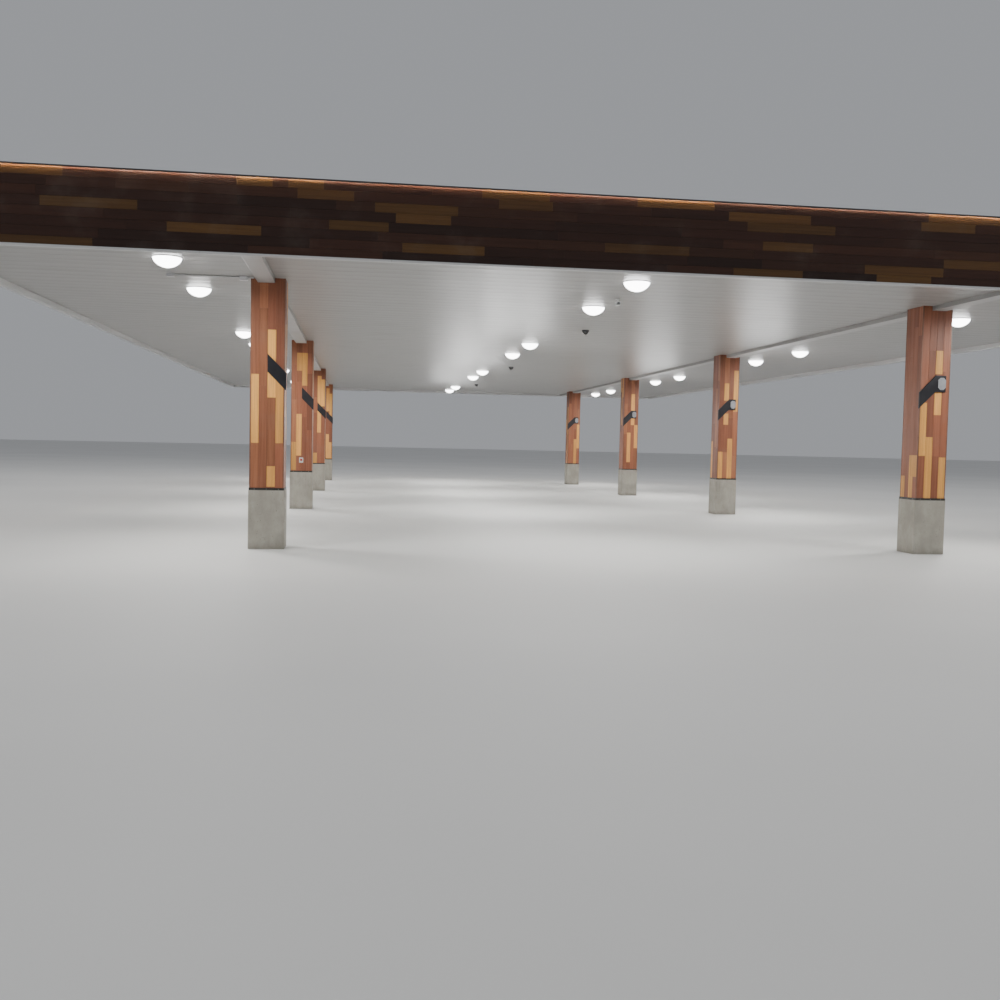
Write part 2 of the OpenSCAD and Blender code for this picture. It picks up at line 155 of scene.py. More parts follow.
class Finish:
    # one material, with the few nodes that its makers ask for
    def __init__(self, name, **constants):
        self.material = bpy.data.materials.new(name)
        self.material.use_nodes = True
        self.tree = self.material.node_tree
        self.shader = self.tree.nodes["Principled BSDF"]
        for socket, value in constants.items():
            self.shader.inputs[socket.replace("_", " ")].default_value = value
        self.here = self.add("ShaderNodeTexCoord", {}, {}, "Object")

    def add(self, kind, settings, sockets, output=0):
        made = self.tree.nodes.new(kind)
        for name, value in settings.items():
            if name == "stops":
                ramp = made.color_ramp
                while len(ramp.elements) < len(value):
                    ramp.elements.new(.5)
                for stop, (place, colour) in zip(ramp.elements, value):
                    stop.position = place
                    stop.color = (*colour, 1)
            else:
                setattr(made, name, value)
        for socket, value in sockets.items():
            if isinstance(value, Value):
                self.tree.links.new(value.socket, made.inputs[socket])
            else:
                made.inputs[socket].default_value = value
        return Value(self, made.outputs[output])

    def feed(self, socket, value):
        self.tree.links.new(value.socket, self.shader.inputs[socket])

    def painted(self, colour, rough=None, normal=None):
        # the last step of every finish
        for socket, value in (("Base Color", colour), ("Roughness", rough), ("Normal", normal)):
            if value:
                self.feed(socket, value)
        return self.material

    def attribute(self, name, output="Fac"):
        return self.add("ShaderNodeAttribute", {"attribute_name": name}, {}, output)

    def moved(self, by):
        return self.add("ShaderNodeVectorMath", {"operation": "ADD"}, {0: self.here, 1: by})

    def split(self, vector):
        node = self.add("ShaderNodeSeparateXYZ", {}, {0: vector}).socket.node
        return [Value(self, socket) for socket in node.outputs]

    def along(self, axis):
        return self.split(self.here)[axis]

    def facingUp(self):
        return self.split(self.add("ShaderNodeNewGeometry", {}, {}, "Normal"))[2]

    def texture(self, kind, sockets, stretch, at, output=0):
        place = at or self.here
        if stretch:
            place = self.add("ShaderNodeVectorMath", {"operation": "MULTIPLY"}, {0: place, 1: stretch})
        return self.add(kind, {}, {"Vector": place, **sockets}, output)

    def noise(self, scale, detail, roughness=.5, stretch=None, at=None):
        sockets = {"Scale": scale, "Detail": detail, "Roughness": roughness}
        return self.texture("ShaderNodeTexNoise", sockets, stretch, at)

    def cells(self, scale, stretch=None, at=None, output="Distance"):
        return self.texture("ShaderNodeTexVoronoi", {"Scale": scale}, stretch, at, output)

    def between(self, value, low, high, toLow=0, toHigh=1):
        # a smooth step from toLow to toHigh as value goes from low to high
        return self.add("ShaderNodeMapRange", {"interpolation_type": "SMOOTHSTEP"},
                        {0: value, 1: low, 2: high, 3: toLow, 4: toHigh})

    def patches(self, low, high, *noise, **more):
        # where a noise passes from low to high
        return self.between(self.noise(*noise, **more), low, high)

    def dots(self, low, high, *cells, **more):
        # round the middles of cells, out from low to high
        return self.between(self.cells(*cells, **more), low, high, 1, 0)

    def ramp(self, value, stops):
        return self.add("ShaderNodeValToRGB", {"stops": stops}, {0: value})

    def mixed(self, factor, first, second, mode="MIX"):
        first, second = [(*c, 1) if isinstance(c, tuple) and len(c) == 3 else c for c in (first, second)]
        return self.add("ShaderNodeMix", {"data_type": "RGBA", "blend_type": mode},
                        {0: factor, 6: first, 7: second}, 2)

    def shaded(self, colour, by):
        return self.mixed(1, colour, by, "MULTIPLY")

    def bump(self, height, distance, strength, normal=None):
        sockets = {"Strength": strength, "Distance": distance, "Height": height}
        if normal:
            sockets["Normal"] = normal
        return self.add("ShaderNodeBump", {}, sockets)


# Materials

plankLook = {
    "tones": [(0, (.042, .023, .018)), (.3, (.126, .052, .034)), (.6, (.33, .120, .065)),
              (.8, (.42, .175, .082)), (1, (.90, .455, .118))],
    "grainDark": .5,
}


def makePlankFinish(name, darkness):
    look = Finish(name, Coat_Roughness=.35, Specular_IOR_Level=.3)
    along = look.attribute("plankPlace", "Vector")
    base = look.ramp(look.attribute("plankTone"), plankLook["tones"])
    figure = look.noise(1, 4, .62, (1.1, 26, 26), along)
    rings = look.noise(1, 2, .5, (.55, 75, 75), along)
    grain = look.between(figure * .6 + rings * .4, .36, .66)
    fleck = look.patches(.55, .72, 1, 2, .5, (14, 520, 520), along)
    colour = look.mixed(grain * plankLook["grainDark"], base, look.shaded(base, (.50, .42, .38)))
    colour = look.mixed(fleck * .3, colour, look.shaded(base, (.35, .28, .25)))
    # the level scales each board's random brightness; a level below 1 paints shade over all the planks, as on
    # the fascia
    level = look.between(look.attribute("plankShade"), 0, 1, .82 * darkness, 1.14 * darkness)
    colour = look.shaded(colour, look.add("ShaderNodeCombineColor", {}, {0: level, 1: level, 2: level}))
    dust = look.patches(.5, .8, 1.7, 4, .6)
    look.feed("Coat Weight", look.between(dust, 0, 1, .08, .02))
    return look.painted(look.mixed(dust * .10, colour, (.30, .27, .24)), .40 + grain * .14 + dust * .12,
                        look.bump(grain * .6 + fleck * .4, .0005, .5))


def makeConcreteFinish():
    look = Finish("castConcrete")
    height = look.along(2)
    clouds = look.noise(5.5, 4, .6, (1, 1, .45))
    sand = look.noise(240, 2, .6)
    colour = look.ramp(look.between(look.noise(2.4, 5, .62) * .55 + clouds * .45, .34, .66),
                       [(0, (.308, .290, .246)), (.5, (.356, .336, .288)), (1, (.41, .388, .335))])
    wet = look.between(height + clouds * .22, .05, .26, 1, 0)
    colour = look.mixed(wet * .55, colour, (.17, .155, .13))
    run = look.patches(.56, .76, 1, 4, .6, (13, 13, .8)) * look.between(height, .15, .95)
    colour = look.mixed(run * .38, colour, (.20, .18, .15))
    chalk = look.patches(.60, .74, 3.3, 4, .65, at=look.moved((4, 1, 2)))
    colour = look.mixed(chalk * .3, colour, (.47, .45, .41))
    holes = look.dots(.10, .17, 26) * look.patches(.50, .58, 7, 2)
    small = look.dots(.13, .2, 75, at=look.moved((2, 7, 3))) * look.patches(.54, .62, 11, 2)
    pits = holes + small * .7
    lift = look.patches(.3, .7, 3, 2, .5, (.6, .6, 6))
    rough = look.bump(sand * .35 + clouds * .4 + lift * .25, .0014, .7)
    # the pits are painted near black: painted shade inside the small holes
    return look.painted(look.mixed(pits * .72, colour, (.075, .07, .06)), .78 + sand * .14 - wet * .12,
                        look.bump(1 - pits, .004, .9, rough))


sheetLook = {
    # the deck's white paint is given a mid grey here: painted shade over the whole deck, for the soffit in the
    # shade under the roof
    "whiteSheet": {"colour": (.282, .277, .270), "side": (.282, .277, .270), "dirt": (.20, .18, .155),
                   "rough": .35, "wave": .0022, "crown": .0011},
    # gutter and trim: colour is for undersides, side for upright faces; both are painted light and shade,
    # lighter or darker for how the light falls on each face
    "gutterSheet": {"colour": (.42, .415, .41), "side": (.33, .325, .315), "dirt": (.20, .18, .16),
                    "rough": .42, "wave": .0012, "crown": 0},
    "whiteTrim": {"colour": (.45, .455, .46), "side": (.60, .605, .61), "dirt": (.32, .30, .27),
                  "rough": .36, "wave": .0006, "crown": 0},
}


def makeSheetFinish(name):
    v = sheetLook[name]
    look = Finish(name)
    up = look.facingUp()
    top = look.between(up, .3, .7)
    canning = look.noise(1, 3, .5, (.55, 3.1, 1))
    peel = look.noise(130, 2)
    # upright faces take the side colour: painted light and shade by which way a face looks
    paint = look.mixed(look.between(up, -.8, -.3), v["colour"], v["side"])
    colour = look.mixed(look.patches(.35, .7, .8, 4, .6) * .5, paint, look.shaded(paint, (.93, .93, .93)))
    smear = look.patches(.46, .80, 1, 3, .5, (.9, 3.5, 3.5))
    colour = look.mixed(smear * .10, colour, v["dirt"])
    grime = look.patches(.42, .66, 3.7, 5, .68) * top
    colour = look.mixed(grime * .55, colour, v["dirt"])
    leaf = look.dots(.02, .07, 21, (1, 1, .2)) * top
    colour = look.mixed(leaf * .5, colour, (.12, .09, .05))
    spots = look.dots(.016, .034, 9) * look.patches(.56, .62, 1.9, 2)
    bumps = look.bump(peel, .0001, .2)
    if v["crown"]:
        # each pan hangs a little between its folds, so reflections break into strips
        turn = look.along(1) * (math.tau / panPitch) + (halfLength - fasciaDepth) * math.tau / panPitch
        hang = look.add("ShaderNodeMath", {"operation": "COSINE"}, {0: turn})
        bumps = look.bump(hang * (.5 + canning), v["crown"], .8, bumps)
    return look.painted(look.mixed(spots * .5, colour, (.26, .22, .17)),
                        v["rough"] + smear * .05 + top * .22 + peel * .02,
                        look.bump(canning, v["wave"], .6, bumps))


def makeDarkMetalFinish(name, colour, rough):
    look = Finish(name, Metallic=.35, Coat_Weight=.2, Coat_Roughness=.25)
    top = look.between(look.facingUp(), .3, .8)
    haze = look.noise(2.1, 4, .6)
    peel = look.noise(210, 2)
    scratch = look.noise(1, 2, .7, (9, 9, 300))
    scuffs = look.between(scratch, .67, .74) * look.patches(.55, .7, 5, 3, .6)
    tint = look.mixed(look.between(haze, .35, .68), colour, tuple(c * 1.45 + .006 for c in colour))
    tint = look.mixed(top * look.between(haze, .3, .6) * .35, tint, (.20, .19, .17))
    return look.painted(look.mixed(scuffs * .45, tint, (.24, .23, .22)),
                        rough + haze * .16 + top * .15 + scuffs * .1,
                        look.bump(peel * .6 + scratch * .4, .0003, .4))


def makeSteelFinish(name, colour, rust):
    look = Finish(name, Metallic=.1)
    haze = look.noise(1.4, 5, .62)
    brush = look.noise(1, 3, .6, (6, 6, 24))
    tint = look.mixed(look.between(haze * .6 + brush * .4, .34, .66), tuple(c * .78 for c in colour), colour)
    bloom = look.patches(.60, .70, 6.5, 6, .72)
    drips = look.patches(.62, .74, 1, 4, .65, (20, 20, 1.4))
    rusty = (bloom + drips * .6) * rust
    tint = look.mixed(rusty, tint, look.ramp(look.noise(38, 4, .6),
                                             [(.3, (.12, .035, .012)), (.7, (.28, .095, .03))]))
    dust = look.between(look.facingUp(), .4, .9) * look.between(haze, .3, .6)
    return look.painted(look.mixed(dust * .4, tint, (.33, .31, .28)), .52 + brush * .16 + rusty * .25,
                        look.bump(look.noise(160, 3, .6) * .5 + bloom * .5, .0006, .6))


def makeZincFinish(name, scale, rough):
    look = Finish(name)
    flake = look.split(look.cells(scale, output="Color"))
    haze = look.noise(3, 4, .6)
    tint = look.ramp(flake[0] * .7 + haze * .3,
                     [(.1, (.30, .31, .32)), (.5, (.42, .435, .45)), (.9, (.55, .565, .58))])
    white = look.patches(.60, .72, 8, 5, .7)
    look.feed("Metallic", look.between(white, 0, 1, .9, .35))
    return look.painted(look.mixed(white * .4, tint, (.62, .63, .62)), rough + flake[1] * .14 + white * .2,
                        look.bump(flake[2] * .5 + haze * .5, .0003, .35))


def makeLampFinish():
    # white under the soffit, bare castings over the deck
    look = Finish("lampHousing")
    above = look.between(look.along(2), soffitZ + .001, soffitZ + .002)
    haze = look.noise(9, 4, .6)
    grime = look.patches(.5, .72, 14, 5, .7)
    white = look.mixed(grime * .18, (.62, .63, .64), (.36, .33, .29))
    cast = look.mixed(look.between(haze, .35, .65), (.34, .35, .36), (.46, .47, .48))
    cast = look.mixed(grime * .5, cast, (.26, .24, .21))
    look.feed("Metallic", above * .6)
    return look.painted(look.mixed(above, white, cast), .36 + haze * .12 + above * .14,
                        look.bump(look.noise(260, 2), .0003, .45))


lensLook = {"colour": (1, .985, .96), "strength": 12}


def makeLensFinish():
    look = Finish("glowingLens", Roughness=.3, Emission_Strength=lensLook["strength"])
    depth = look.between(look.along(2), soffitZ - .16, soffitZ - .02)
    frost = look.noise(45, 2)
    glow = look.mixed(depth * .35, lensLook["colour"], (.90, .93, 1))
    look.feed("Emission Color", look.mixed(look.between(frost, .35, .65) * .06, glow, (.75, .78, .84)))
    return look.painted(look.mixed(look.between(frost, .3, .7), (.86, .87, .88), (.80, .81, .83)),
                        normal=look.bump(frost, .0006, .4))


stripLook = {"colour": (1, .72, .52), "hot": (1, .82, .66), "strength": 120}


def makeStripFinish():
    look = Finish("warmStrip", Roughness=.4, Emission_Strength=stripLook["strength"])
    slow = look.noise(.35, 2)
    beads = look.noise(22, 2)
    glow = look.between(slow * .65 + beads * .35, .38, .64)
    look.feed("Emission Color", look.mixed(glow, stripLook["colour"], stripLook["hot"]))
    return look.painted(look.mixed(look.between(beads, .4, .6), (.84, .80, .74), (.88, .85, .80)),
                        normal=look.bump(beads, .0004, .3))


def makeConduitFinish():
    # painted under the soffit, bare zinc over the deck
    look = Finish("conduitMetal")
    bare = look.between(look.along(2), soffitZ + .001, soffitZ + .003)
    haze = look.noise(11, 4, .6)
    flake = look.split(look.cells(60, output="Color"))
    dust = look.patches(.52, .75, 28, 5, .7)
    paint = look.mixed(look.between(haze, .3, .7), (.46, .465, .47), (.52, .525, .53))
    zinc = look.mixed(flake[0], (.36, .37, .38), (.52, .53, .54))
    look.feed("Metallic", bare * .85)
    return look.painted(look.mixed(dust * .2, look.mixed(bare, paint, zinc), (.34, .32, .29)),
                        .36 + dust * .16 + flake[1] * .08,
                        look.bump(haze * .5 + flake[2] * bare * .5, .0003, .4))


def paintShell(look, haze, tint, rough, share):
    # dust over a tint, and a fine peel, for plastic and small painted shells
    dust = look.patches(.52, .75, 28, 5, .7)
    return look.painted(look.mixed(dust * share, tint, (.34, .32, .29)), rough + dust * .14 + haze * .05,
                        look.bump(look.noise(420, 2), .0002, .35))


def makePlasticFinish(name, colour, rough, speckle=.12, coat=0.0):
    look = Finish(name, Coat_Weight=coat, Coat_Roughness=.08)
    haze = look.noise(11, 4, .6)
    tint = look.mixed(look.between(haze, .3, .7), tuple(c * (1 - speckle) for c in colour), colour)
    return paintShell(look, haze, tint, rough, .14)


def makeCameraFinish():
    # a white shell on the box camera at the front, dark grey on the domes
    look = Finish("cameraShell")
    frontY = boxOf("camera_bases")[0].y
    dome = look.between(look.along(1), frontY + .4, frontY + .5)
    haze = look.noise(11, 4, .6)
    soft = look.between(haze, .3, .7)
    white = look.mixed(soft, (.62, .63, .63), (.72, .73, .73))
    grey = look.mixed(soft, (.075, .076, .08), (.095, .096, .10))
    return paintShell(look, haze, look.mixed(dome, white, grey), .36, .12)


def makeFloorFinish():
    look = Finish("studioFloor")
    haze = look.noise(.12, 4)
    tint = look.mixed(look.between(haze, .3, .7), (.62, .62, .61), (.67, .67, .66))
    return look.painted(tint, .62 + haze * .1)


plasticLook = {
    "smokedDome": ((.008, .008, .009), .06, .1, .8), "conduitPaint": ((.54, .545, .55), .42),
    "lensPlate": ((.30, .31, .33), .3, .2, .5), "switchRed": ((.50, .022, .014), .34, .1, .3),
    "switchPlate": ((.72, .71, .68), .4), "rubberSeal": ((.022, .022, .023), .7),
}
darkMetalLook = {
    "darkTrim": ((.030, .026, .024), .36), "markerMetal": ((.014, .014, .018), .28),
    "liningBoard": ((.012, .011, .010), .62), "cornerTrim": ((.175, .078, .048), .42),
}
finishes = {
    "columnPlanks": makePlankFinish("columnPlanks", 1.0),
    # the fascia's planks are the column planks with painted shade: far darker, to stand for the shade the
    # fascia is in
    "fasciaPlanks": makePlankFinish("fasciaPlanks", .145),
    "galvanised": makeZincFinish("galvanised", 55, .34),
    "zincBolts": makeZincFinish("zincBolts", 240, .28),
    "primedSteel": makeSteelFinish("primedSteel", (.33, .345, .35), .5),
    "concrete": makeConcreteFinish(),
    "conduitMetal": makeConduitFinish(),
    "lampHousing": makeLampFinish(),
    "glowingLens": makeLensFinish(),
    "warmStrip": makeStripFinish(),
    "cameraShell": makeCameraFinish(),
    "studioFloor": makeFloorFinish(),
}
for name in sheetLook:
    finishes[name] = makeSheetFinish(name)
for maker, looks in ((makePlasticFinish, plasticLook), (makeDarkMetalFinish, darkMetalLook)):
    for name, values in looks.items():
        finishes[name] = maker(name, *values)
print("materials made:", len(finishes))


# Mesh code that the pieces share

def spot(x, y, z, facing):
    # a place: it turns (u, v, w) into a point, with u and v on a face that looks this way, and w out from it
    return {
        "up": lambda u, v, w: (x + u, y + v, z + w),
        "down": lambda u, v, w: (x + u, y - v, z - w),
        "front": lambda u, v, w: (x + u, y - w, z + v),
        "right": lambda u, v, w: (x + w, y + u, z + v),
        "back": lambda u, v, w: (x - u, y + w, z + v),
        "left": lambda u, v, w: (x - w, y - u, z + v),
    }[facing]


facings = ["front", "right", "back", "left"]


def insetOutline(outline, side, end):
    # moves the edges of an outline inward: upright ones by side, the others by end
    count = len(outline)
    area = sum(outline[i][0] * outline[(i + 1) % count][1] - outline[(i + 1) % count][0] * outline[i][1]
               for i in range(count))
    turn = 1 if area > 0 else -1
    lines = []
    for i in range(count):
        (au, av), (bu, bv) = outline[i], outline[(i + 1) % count]
        du, dv = bu - au, bv - av
        size = math.hypot(du, dv)
        nu, nv = -dv / size * turn, du / size * turn
        amount = side if abs(dv) > abs(du) else end
        lines.append((nu, nv, nu * au + nv * av + amount))
    moved = []
    for i in range(count):
        (n1, m1, c1), (n2, m2, c2) = lines[i - 1], lines[i]
        cross = n1 * m2 - n2 * m1
        if abs(cross) < 1e-6:
            moved.append((outline[i][0] + n2 * side, outline[i][1] + m2 * end))
        else:
            moved.append(((c1 * m2 - c2 * m1) / cross, (n1 * c2 - n2 * c1) / cross))
    return moved


def onCircle(radius, count):
    # places round a circle, such as those of screws
    turns = [math.radians(30 + i * 360 / count) for i in range(count)]
    return [(radius * math.cos(a), radius * math.sin(a)) for a in turns]


def corners(across, along):
    return [(u, v) for u in (-across, across) for v in (-along, along)]


class Form:
    # the corners and faces of one piece, with what each corner carries
    def __init__(self, carried=()):
        self.points = []
        self.faces = []
        self.marks = []
        self.smooth = []
        self.carried = {name: [] for name in carried}

    def face(self, corners, mark, smooth=False):
        self.faces.append(corners)
        self.marks.append(mark)
        self.smooth.append(smooth)

    def loops(self, rings, mark=0, smooth=False, carried=None):
        # rings of equally many points, joined one to the next and closed at both ends
        start = len(self.points)
        count = len(rings[0])
        last = start + (len(rings) - 1) * count
        for k, ring in enumerate(rings):
            self.points.extend(ring)
            for name in self.carried:
                self.carried[name].extend(carried[name][k])
        for a in range(start, last, count):
            for i in range(count):
                j = (i + 1) % count
                self.face([a + i, a + j, a + count + j, a + count + i], mark, smooth)
        self.face(list(range(start, start + count))[::-1], mark)
        self.face(list(range(last, last + count)), mark)

    def plate(self, outline, levels, place, mark=0, carried=None):
        # an outline raised through levels of (height, side inset, end inset)
        rings = [[place(u, v, w) for u, v in insetOutline(outline, side, end)] for w, side, end in levels]
        self.loops(rings, mark, carried=carried)

    def slab(self, size, thick, place, mark=0, edge=.001):
        # a plate with rounded-off upper edges
        a, b = size[0] / 2, size[1] / 2
        outline = [(-a, -b), (a, -b), (a, b), (-a, b)]
        self.plate(outline, [(0, 0, 0), (thick - edge, 0, 0), (thick, edge, edge)], place, mark)

    def block(self, size, thick, place, mark=0, edge=.003, corner=.012, base=0):
        # a box with rounded corners and softened edges, such as a junction box
        a, b = size[0] / 2, size[1] / 2
        outline = []
        for cu, cv, first in ((a, b, 0), (-a, b, 90), (-a, -b, 180), (a, -b, 270)):
            for step in range(4):
                angle = math.radians(first + step * 30)
                outline.append((cu - math.copysign(corner, cu) + corner * math.cos(angle),
                                cv - math.copysign(corner, cv) + corner * math.sin(angle)))
        rings = []
        for w, inset in ((0, 0), (thick - edge, 0), (thick - edge * .3, edge * .3), (thick, edge)):
            k = 1 - inset / min(a, b)
            rings.append([place(u * k, v * k, base + w) for u, v in outline])
        self.loops(rings, mark)

    def turned(self, profile, count, place, mark=0, smooth=False):
        # a profile of (radius, height) turned round the w axis
        turns = [i * math.tau / count for i in range(count)]
        rings = [[place(r * math.cos(a), r * math.sin(a), w) for a in turns] for r, w in profile]
        self.loops(rings, mark, smooth)

    def bolt(self, place, across=.024, height=.013, mark=0):
        # a hexagon head on a washer
        self.turned([(across * .92, 0), (across * .92, height * .2)], 12, place, mark)
        r = across / math.sqrt(3)
        self.turned([(r, height * .2), (r, height * .85), (r * .86, height)], 6, place, mark)

    def screw(self, place, across=.012, height=.004, mark=0):
        # a low pan head
        r = across / 2
        profile = [(r, 0), (r, height * .45), (r * .72, height * .9), (r * .3, height)]
        self.turned(profile, 8, place, mark, True)

    def make(self, name, materials, slot, replaced=()):
        mesh = bpy.data.meshes.new(name)
        mesh.from_pydata(self.points, [], self.faces)
        for material in materials:
            mesh.materials.append(finishes[material])
        mesh.polygons.foreach_set("material_index", self.marks)
        mesh.polygons.foreach_set("use_smooth", self.smooth)
        for title, values in self.carried.items():
            wide = isinstance(values[0], tuple)
            layer = mesh.attributes.new(title, "FLOAT_VECTOR" if wide else "FLOAT", "POINT")
            flat = [part for value in values for part in value] if wide else values
            layer.data.foreach_set("vector" if wide else "value", flat)
        work = bmesh.new()
        work.from_mesh(mesh)
        bmesh.ops.recalc_face_normals(work, faces=work.faces)
        work.to_mesh(mesh)
        work.free()
        mesh.validate()
        piece = bpy.data.objects.new(name, mesh)
        bpy.context.scene.collection.objects.link(piece)
        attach(piece, "root")
        if replaced:
            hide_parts(*replaced)


# Planks on the columns and the fascia

plankValues = {
    "cover": .139, "depth": .013, "joint": .004, "jointDepth": .005, "butt": .0016, "edge": .0009,
    "mitre": .0006, "columnLengths": (.45, 1.75), "fasciaLengths": (.9, 2.9), "tanShare": .26, "seed": 11,
    "proud": .002, "leg": .022, "bend": .003, "lining": .006,
}
# Tan planks that stand out, for each column and face: plank from the left, from and to in height
columnTans = {
    ("l1", 0): [(0, 1.80, 2.96), (2, 2.57, 3.71), (3, 1.80, 2.88), (2, 1.06, 1.41)],
    ("l2", 0): [(1, 3.75, 4.23), (2, 3.35, 4.23), (1, 1.45, 2.58), (0, 1.06, 1.82)],
    ("l3", 0): [(2, 2.18, 4.29), (3, 3.16, 4.16), (1, 1.04, 1.42)],
    ("l4", 0): [(2, 3.29, 4.38), (3, 3.04, 4.13), (2, 1.04, 2.20), (3, 1.04, 1.82)],
    ("r1", 0): [(2, 3.33, 3.76), (2, 2.58, 3.00), (0, 1.82, 2.80), (1, 1.04, 2.17), (3, 1.04, 1.80)],
    ("r1", 3): [(2, 1.43, 1.83), (3, 1.43, 1.83), (0, 1.04, 1.44), (2, 1.04, 1.43)],
    ("r2", 0): [(1, 3.27, 3.76), (3, 2.96, 4.13), (1, 2.58, 2.90), (2, 1.04, 2.18), (0, 1.04, 1.80)],
    ("r2", 3): [(0, 1.04, 2.10)],
    ("r3", 0): [(2, 2.75, 3.95), (1, 1.30, 2.45), (3, 1.85, 2.75)],
    ("r4", 0): [(2, 1.04, 2.23), (3, 1.78, 2.95)],
}
# The same on the front fascia: from and to along X, for each course from the bottom
fasciaTans = {
    0: [(-9.5, -8.2), (1.1, 2.2), (3.4, 4.3)],
    1: [(-3.9, -2.7), (3.2, 4.5), (8.3, 9.7)],
    2: [(-7.2, -5.9), (-.9, .4), (4.5, 5.9)],
    3: [(-4.95, -4.1), (1.55, 2.35)],
    4: [(-8.9, -7.6), (-4.0, -3.2), (8.6, 10.1)],
    5: [(-4.3, -3.1), (1.3, 2.7), (6.4, 8.1)],
    6: [(-5.4, -4.6), (-2.5, -1.7), (1.0, 2.3), (4.1, 5.0)],
    7: [(-10.2, -8.60), (-6.25, -5.75), (-5.53, -5.03), (-2.75, -1.75), (-.42, .77), (4.22, 6.6)],
}
boardTones = {"tan": (.94, 1), "brown": [.56, .60, .62, .66, .70, .58, .52]}
draw = random.Random(plankValues["seed"])


def boardTone(tan):
    return draw.uniform(*boardTones["tan"]) if tan else draw.choice(boardTones["brown"])


def boardsAlong(start, end, tans, lengths, free):
    # (from, to, tone) of the boards that fill a course, around the tan ones that are given
    boards = []
    place = start
    for low, high in sorted(tans) + [(end, end)]:
        low, high = max(low, start), min(high, end)
        while low - place > 1e-6:
            size = draw.uniform(*lengths)
            if low - place - size < lengths[0] * .6:
                size = low - place
            tan = free and draw.random() < plankValues["tanShare"] and not (boards and boards[-1][2] > .9)
            boards.append((place, place + size, boardTone(tan)))
            place += size
        if high > low:
            boards.append((low, high, boardTone(True)))
            place = high
    return boards


def addBoard(form, outline, face, place, alongAxis, tone):
    # one plank with its tongue behind the shadow line, seen as a raised face with softened edges
    v = plankValues
    shade = draw.random()
    shift = (draw.uniform(0, 40), draw.uniform(0, 9), draw.uniform(0, 9))
    joint, butt, edge, jointFace = v["joint"] / 2, v["butt"] / 2, v["edge"], face - v["jointDepth"]
    levels = [(face - v["depth"], .0001, .0001), (jointFace, .0001, .0001), (jointFace, joint, butt),
              (face - edge, joint, butt), (face, joint + edge, butt + edge)]
    if alongAxis == 0:
        levels = [(w, end, side) for w, side, end in levels]
    rings = [[(p[alongAxis] + shift[0], p[1 - alongAxis] + shift[1], w - face + shift[2])
              for p in insetOutline(outline, side, end)] for w, side, end in levels]
    count = len(outline)
    form.plate(outline, levels, place, 0, {"plankPlace": rings, "plankTone": [[tone] * count] * len(rings),
                                           "plankShade": [[shade] * count] * len(rings)})


gutterValues = {"in": .1103, "floorOut": .1703, "out": .2303, "drop": .0803}


def topEdge(u0, u1, low):
    # upper edge of a front or back plank from u1 back to u0, cut round the gutter. u grows towards the middle
    g = gutterValues
    corners = [(-g["out"], soffitZ), (-g["floorOut"], low), (g["in"], low), (g["in"], soffitZ)]

    def heights(u):
        if u < -g["out"] or u > g["in"]:
            return soffitZ
        if u < -g["floorOut"]:
            return soffitZ - (u + g["out"]) / (g["out"] - g["floorOut"]) * (soffitZ - low)
        return low
    edge = [(u1, heights(u1 - 1e-6))]
    for u, z in reversed(corners):
        if u0 + 1e-6 < u < u1 - 1e-6:
            edge.append((u, z))
    edge.append((u0, heights(u0 + 1e-6)))
    return edge


def addPlain(form, rings, mark):
    # rings of a part without grain, in a form that carries grain for its planks
    blank = [[0] * len(ring) for ring in rings]
    nowhere = [[(0, 0, 0)] * len(ring) for ring in rings]
    form.loops(rings, mark, carried={"plankPlace": nowhere, "plankTone": blank, "plankShade": blank})


def makeColumnPlanks():
    v = plankValues
    foot = boxOf("cladding_l1")[0].z
    face = claddingHalf - v["proud"]
    planksHalf = 2 * v["cover"]
    gutterLow = soffitZ - gutterValues["drop"]
    for name in columnNames:
        cx, cy = columnPlace[name]
        form = Form(("plankPlace", "plankTone", "plankShade"))
        toMiddle = 1 if cx < 0 else -1
        for k, facing in enumerate(facings):
            raw = spot(cx, cy, 0, facing)
            known = columnTans.get((name, k), [])

            def place(u, z, w, raw=raw):
                limit = w - v["mitre"] / 2
                return raw(max(-limit, min(limit, u)), z, w)
            for strip in range(4):
                u0 = -planksHalf + strip * v["cover"]
                u1 = u0 + v["cover"]
                tans = [t[1:] for t in known if t[0] == strip]
                for low, high, tone in boardsAlong(foot, soffitZ, tans, v["columnLengths"], not known):
                    outline = [(u0, low), (u1, low), (u1, high), (u0, high)]
                    if high > soffitZ - 1e-6 and k % 2 == 0:
                        flip = toMiddle if k == 0 else -toMiddle
                        if flip > 0:
                            edge = topEdge(u0, u1, gutterLow)
                        else:
                            edge = [(-u, z) for u, z in reversed(topEdge(-u1, -u0, gutterLow))]
                        outline = [(u0, low), (u1, low)] + edge
                    addBoard(form, outline, face, place, 1, tone)
            # dark lining behind the planks, cut short under the gutter
            inner = face - v["depth"] - .0005
            back = inner - v["lining"]
            ring = [(-inner, inner), (inner, inner), (back, back), (-back, back)]
            addPlain(form, [[raw(u, z, w) for u, w in ring] for z in (foot, gutterLow - .002)], 1)
            # folded trim over the corner on the right of this face
            a, b, c = claddingHalf, face + .0001, planksHalf + .0003
            leg, bend, nose = a - v["leg"], a - v["bend"], a - v["bend"] * .3
            section = [(leg, a), (bend, a), (nose, nose), (a, bend), (a, leg),
                       (b, leg), (b, c), (c, c), (c, b), (leg, b)]
            addPlain(form, [[raw(u, z, w) for u, w in section] for z in (foot + .0005, soffitZ)], 2)
        form.make("planks_" + name, ["columnPlanks", "liningBoard", "cornerTrim"], "column_planks",
                  ["cladding_" + name])


def sidePlace(k, gap=0.0):
    # (u, z, w) on side k of the roof, w out from the middle, held back at the mitred corners
    reach = halfLength if k % 2 == 0 else halfWidth
    half = halfWidth if k % 2 == 0 else halfLength
    raw = spot(0, 0, 0, facings[k])

    def place(u, z, w):
        limit = half - (reach - w) - gap / 2
        return raw(max(-limit, min(limit, u)), z, w)
    return place, reach, half


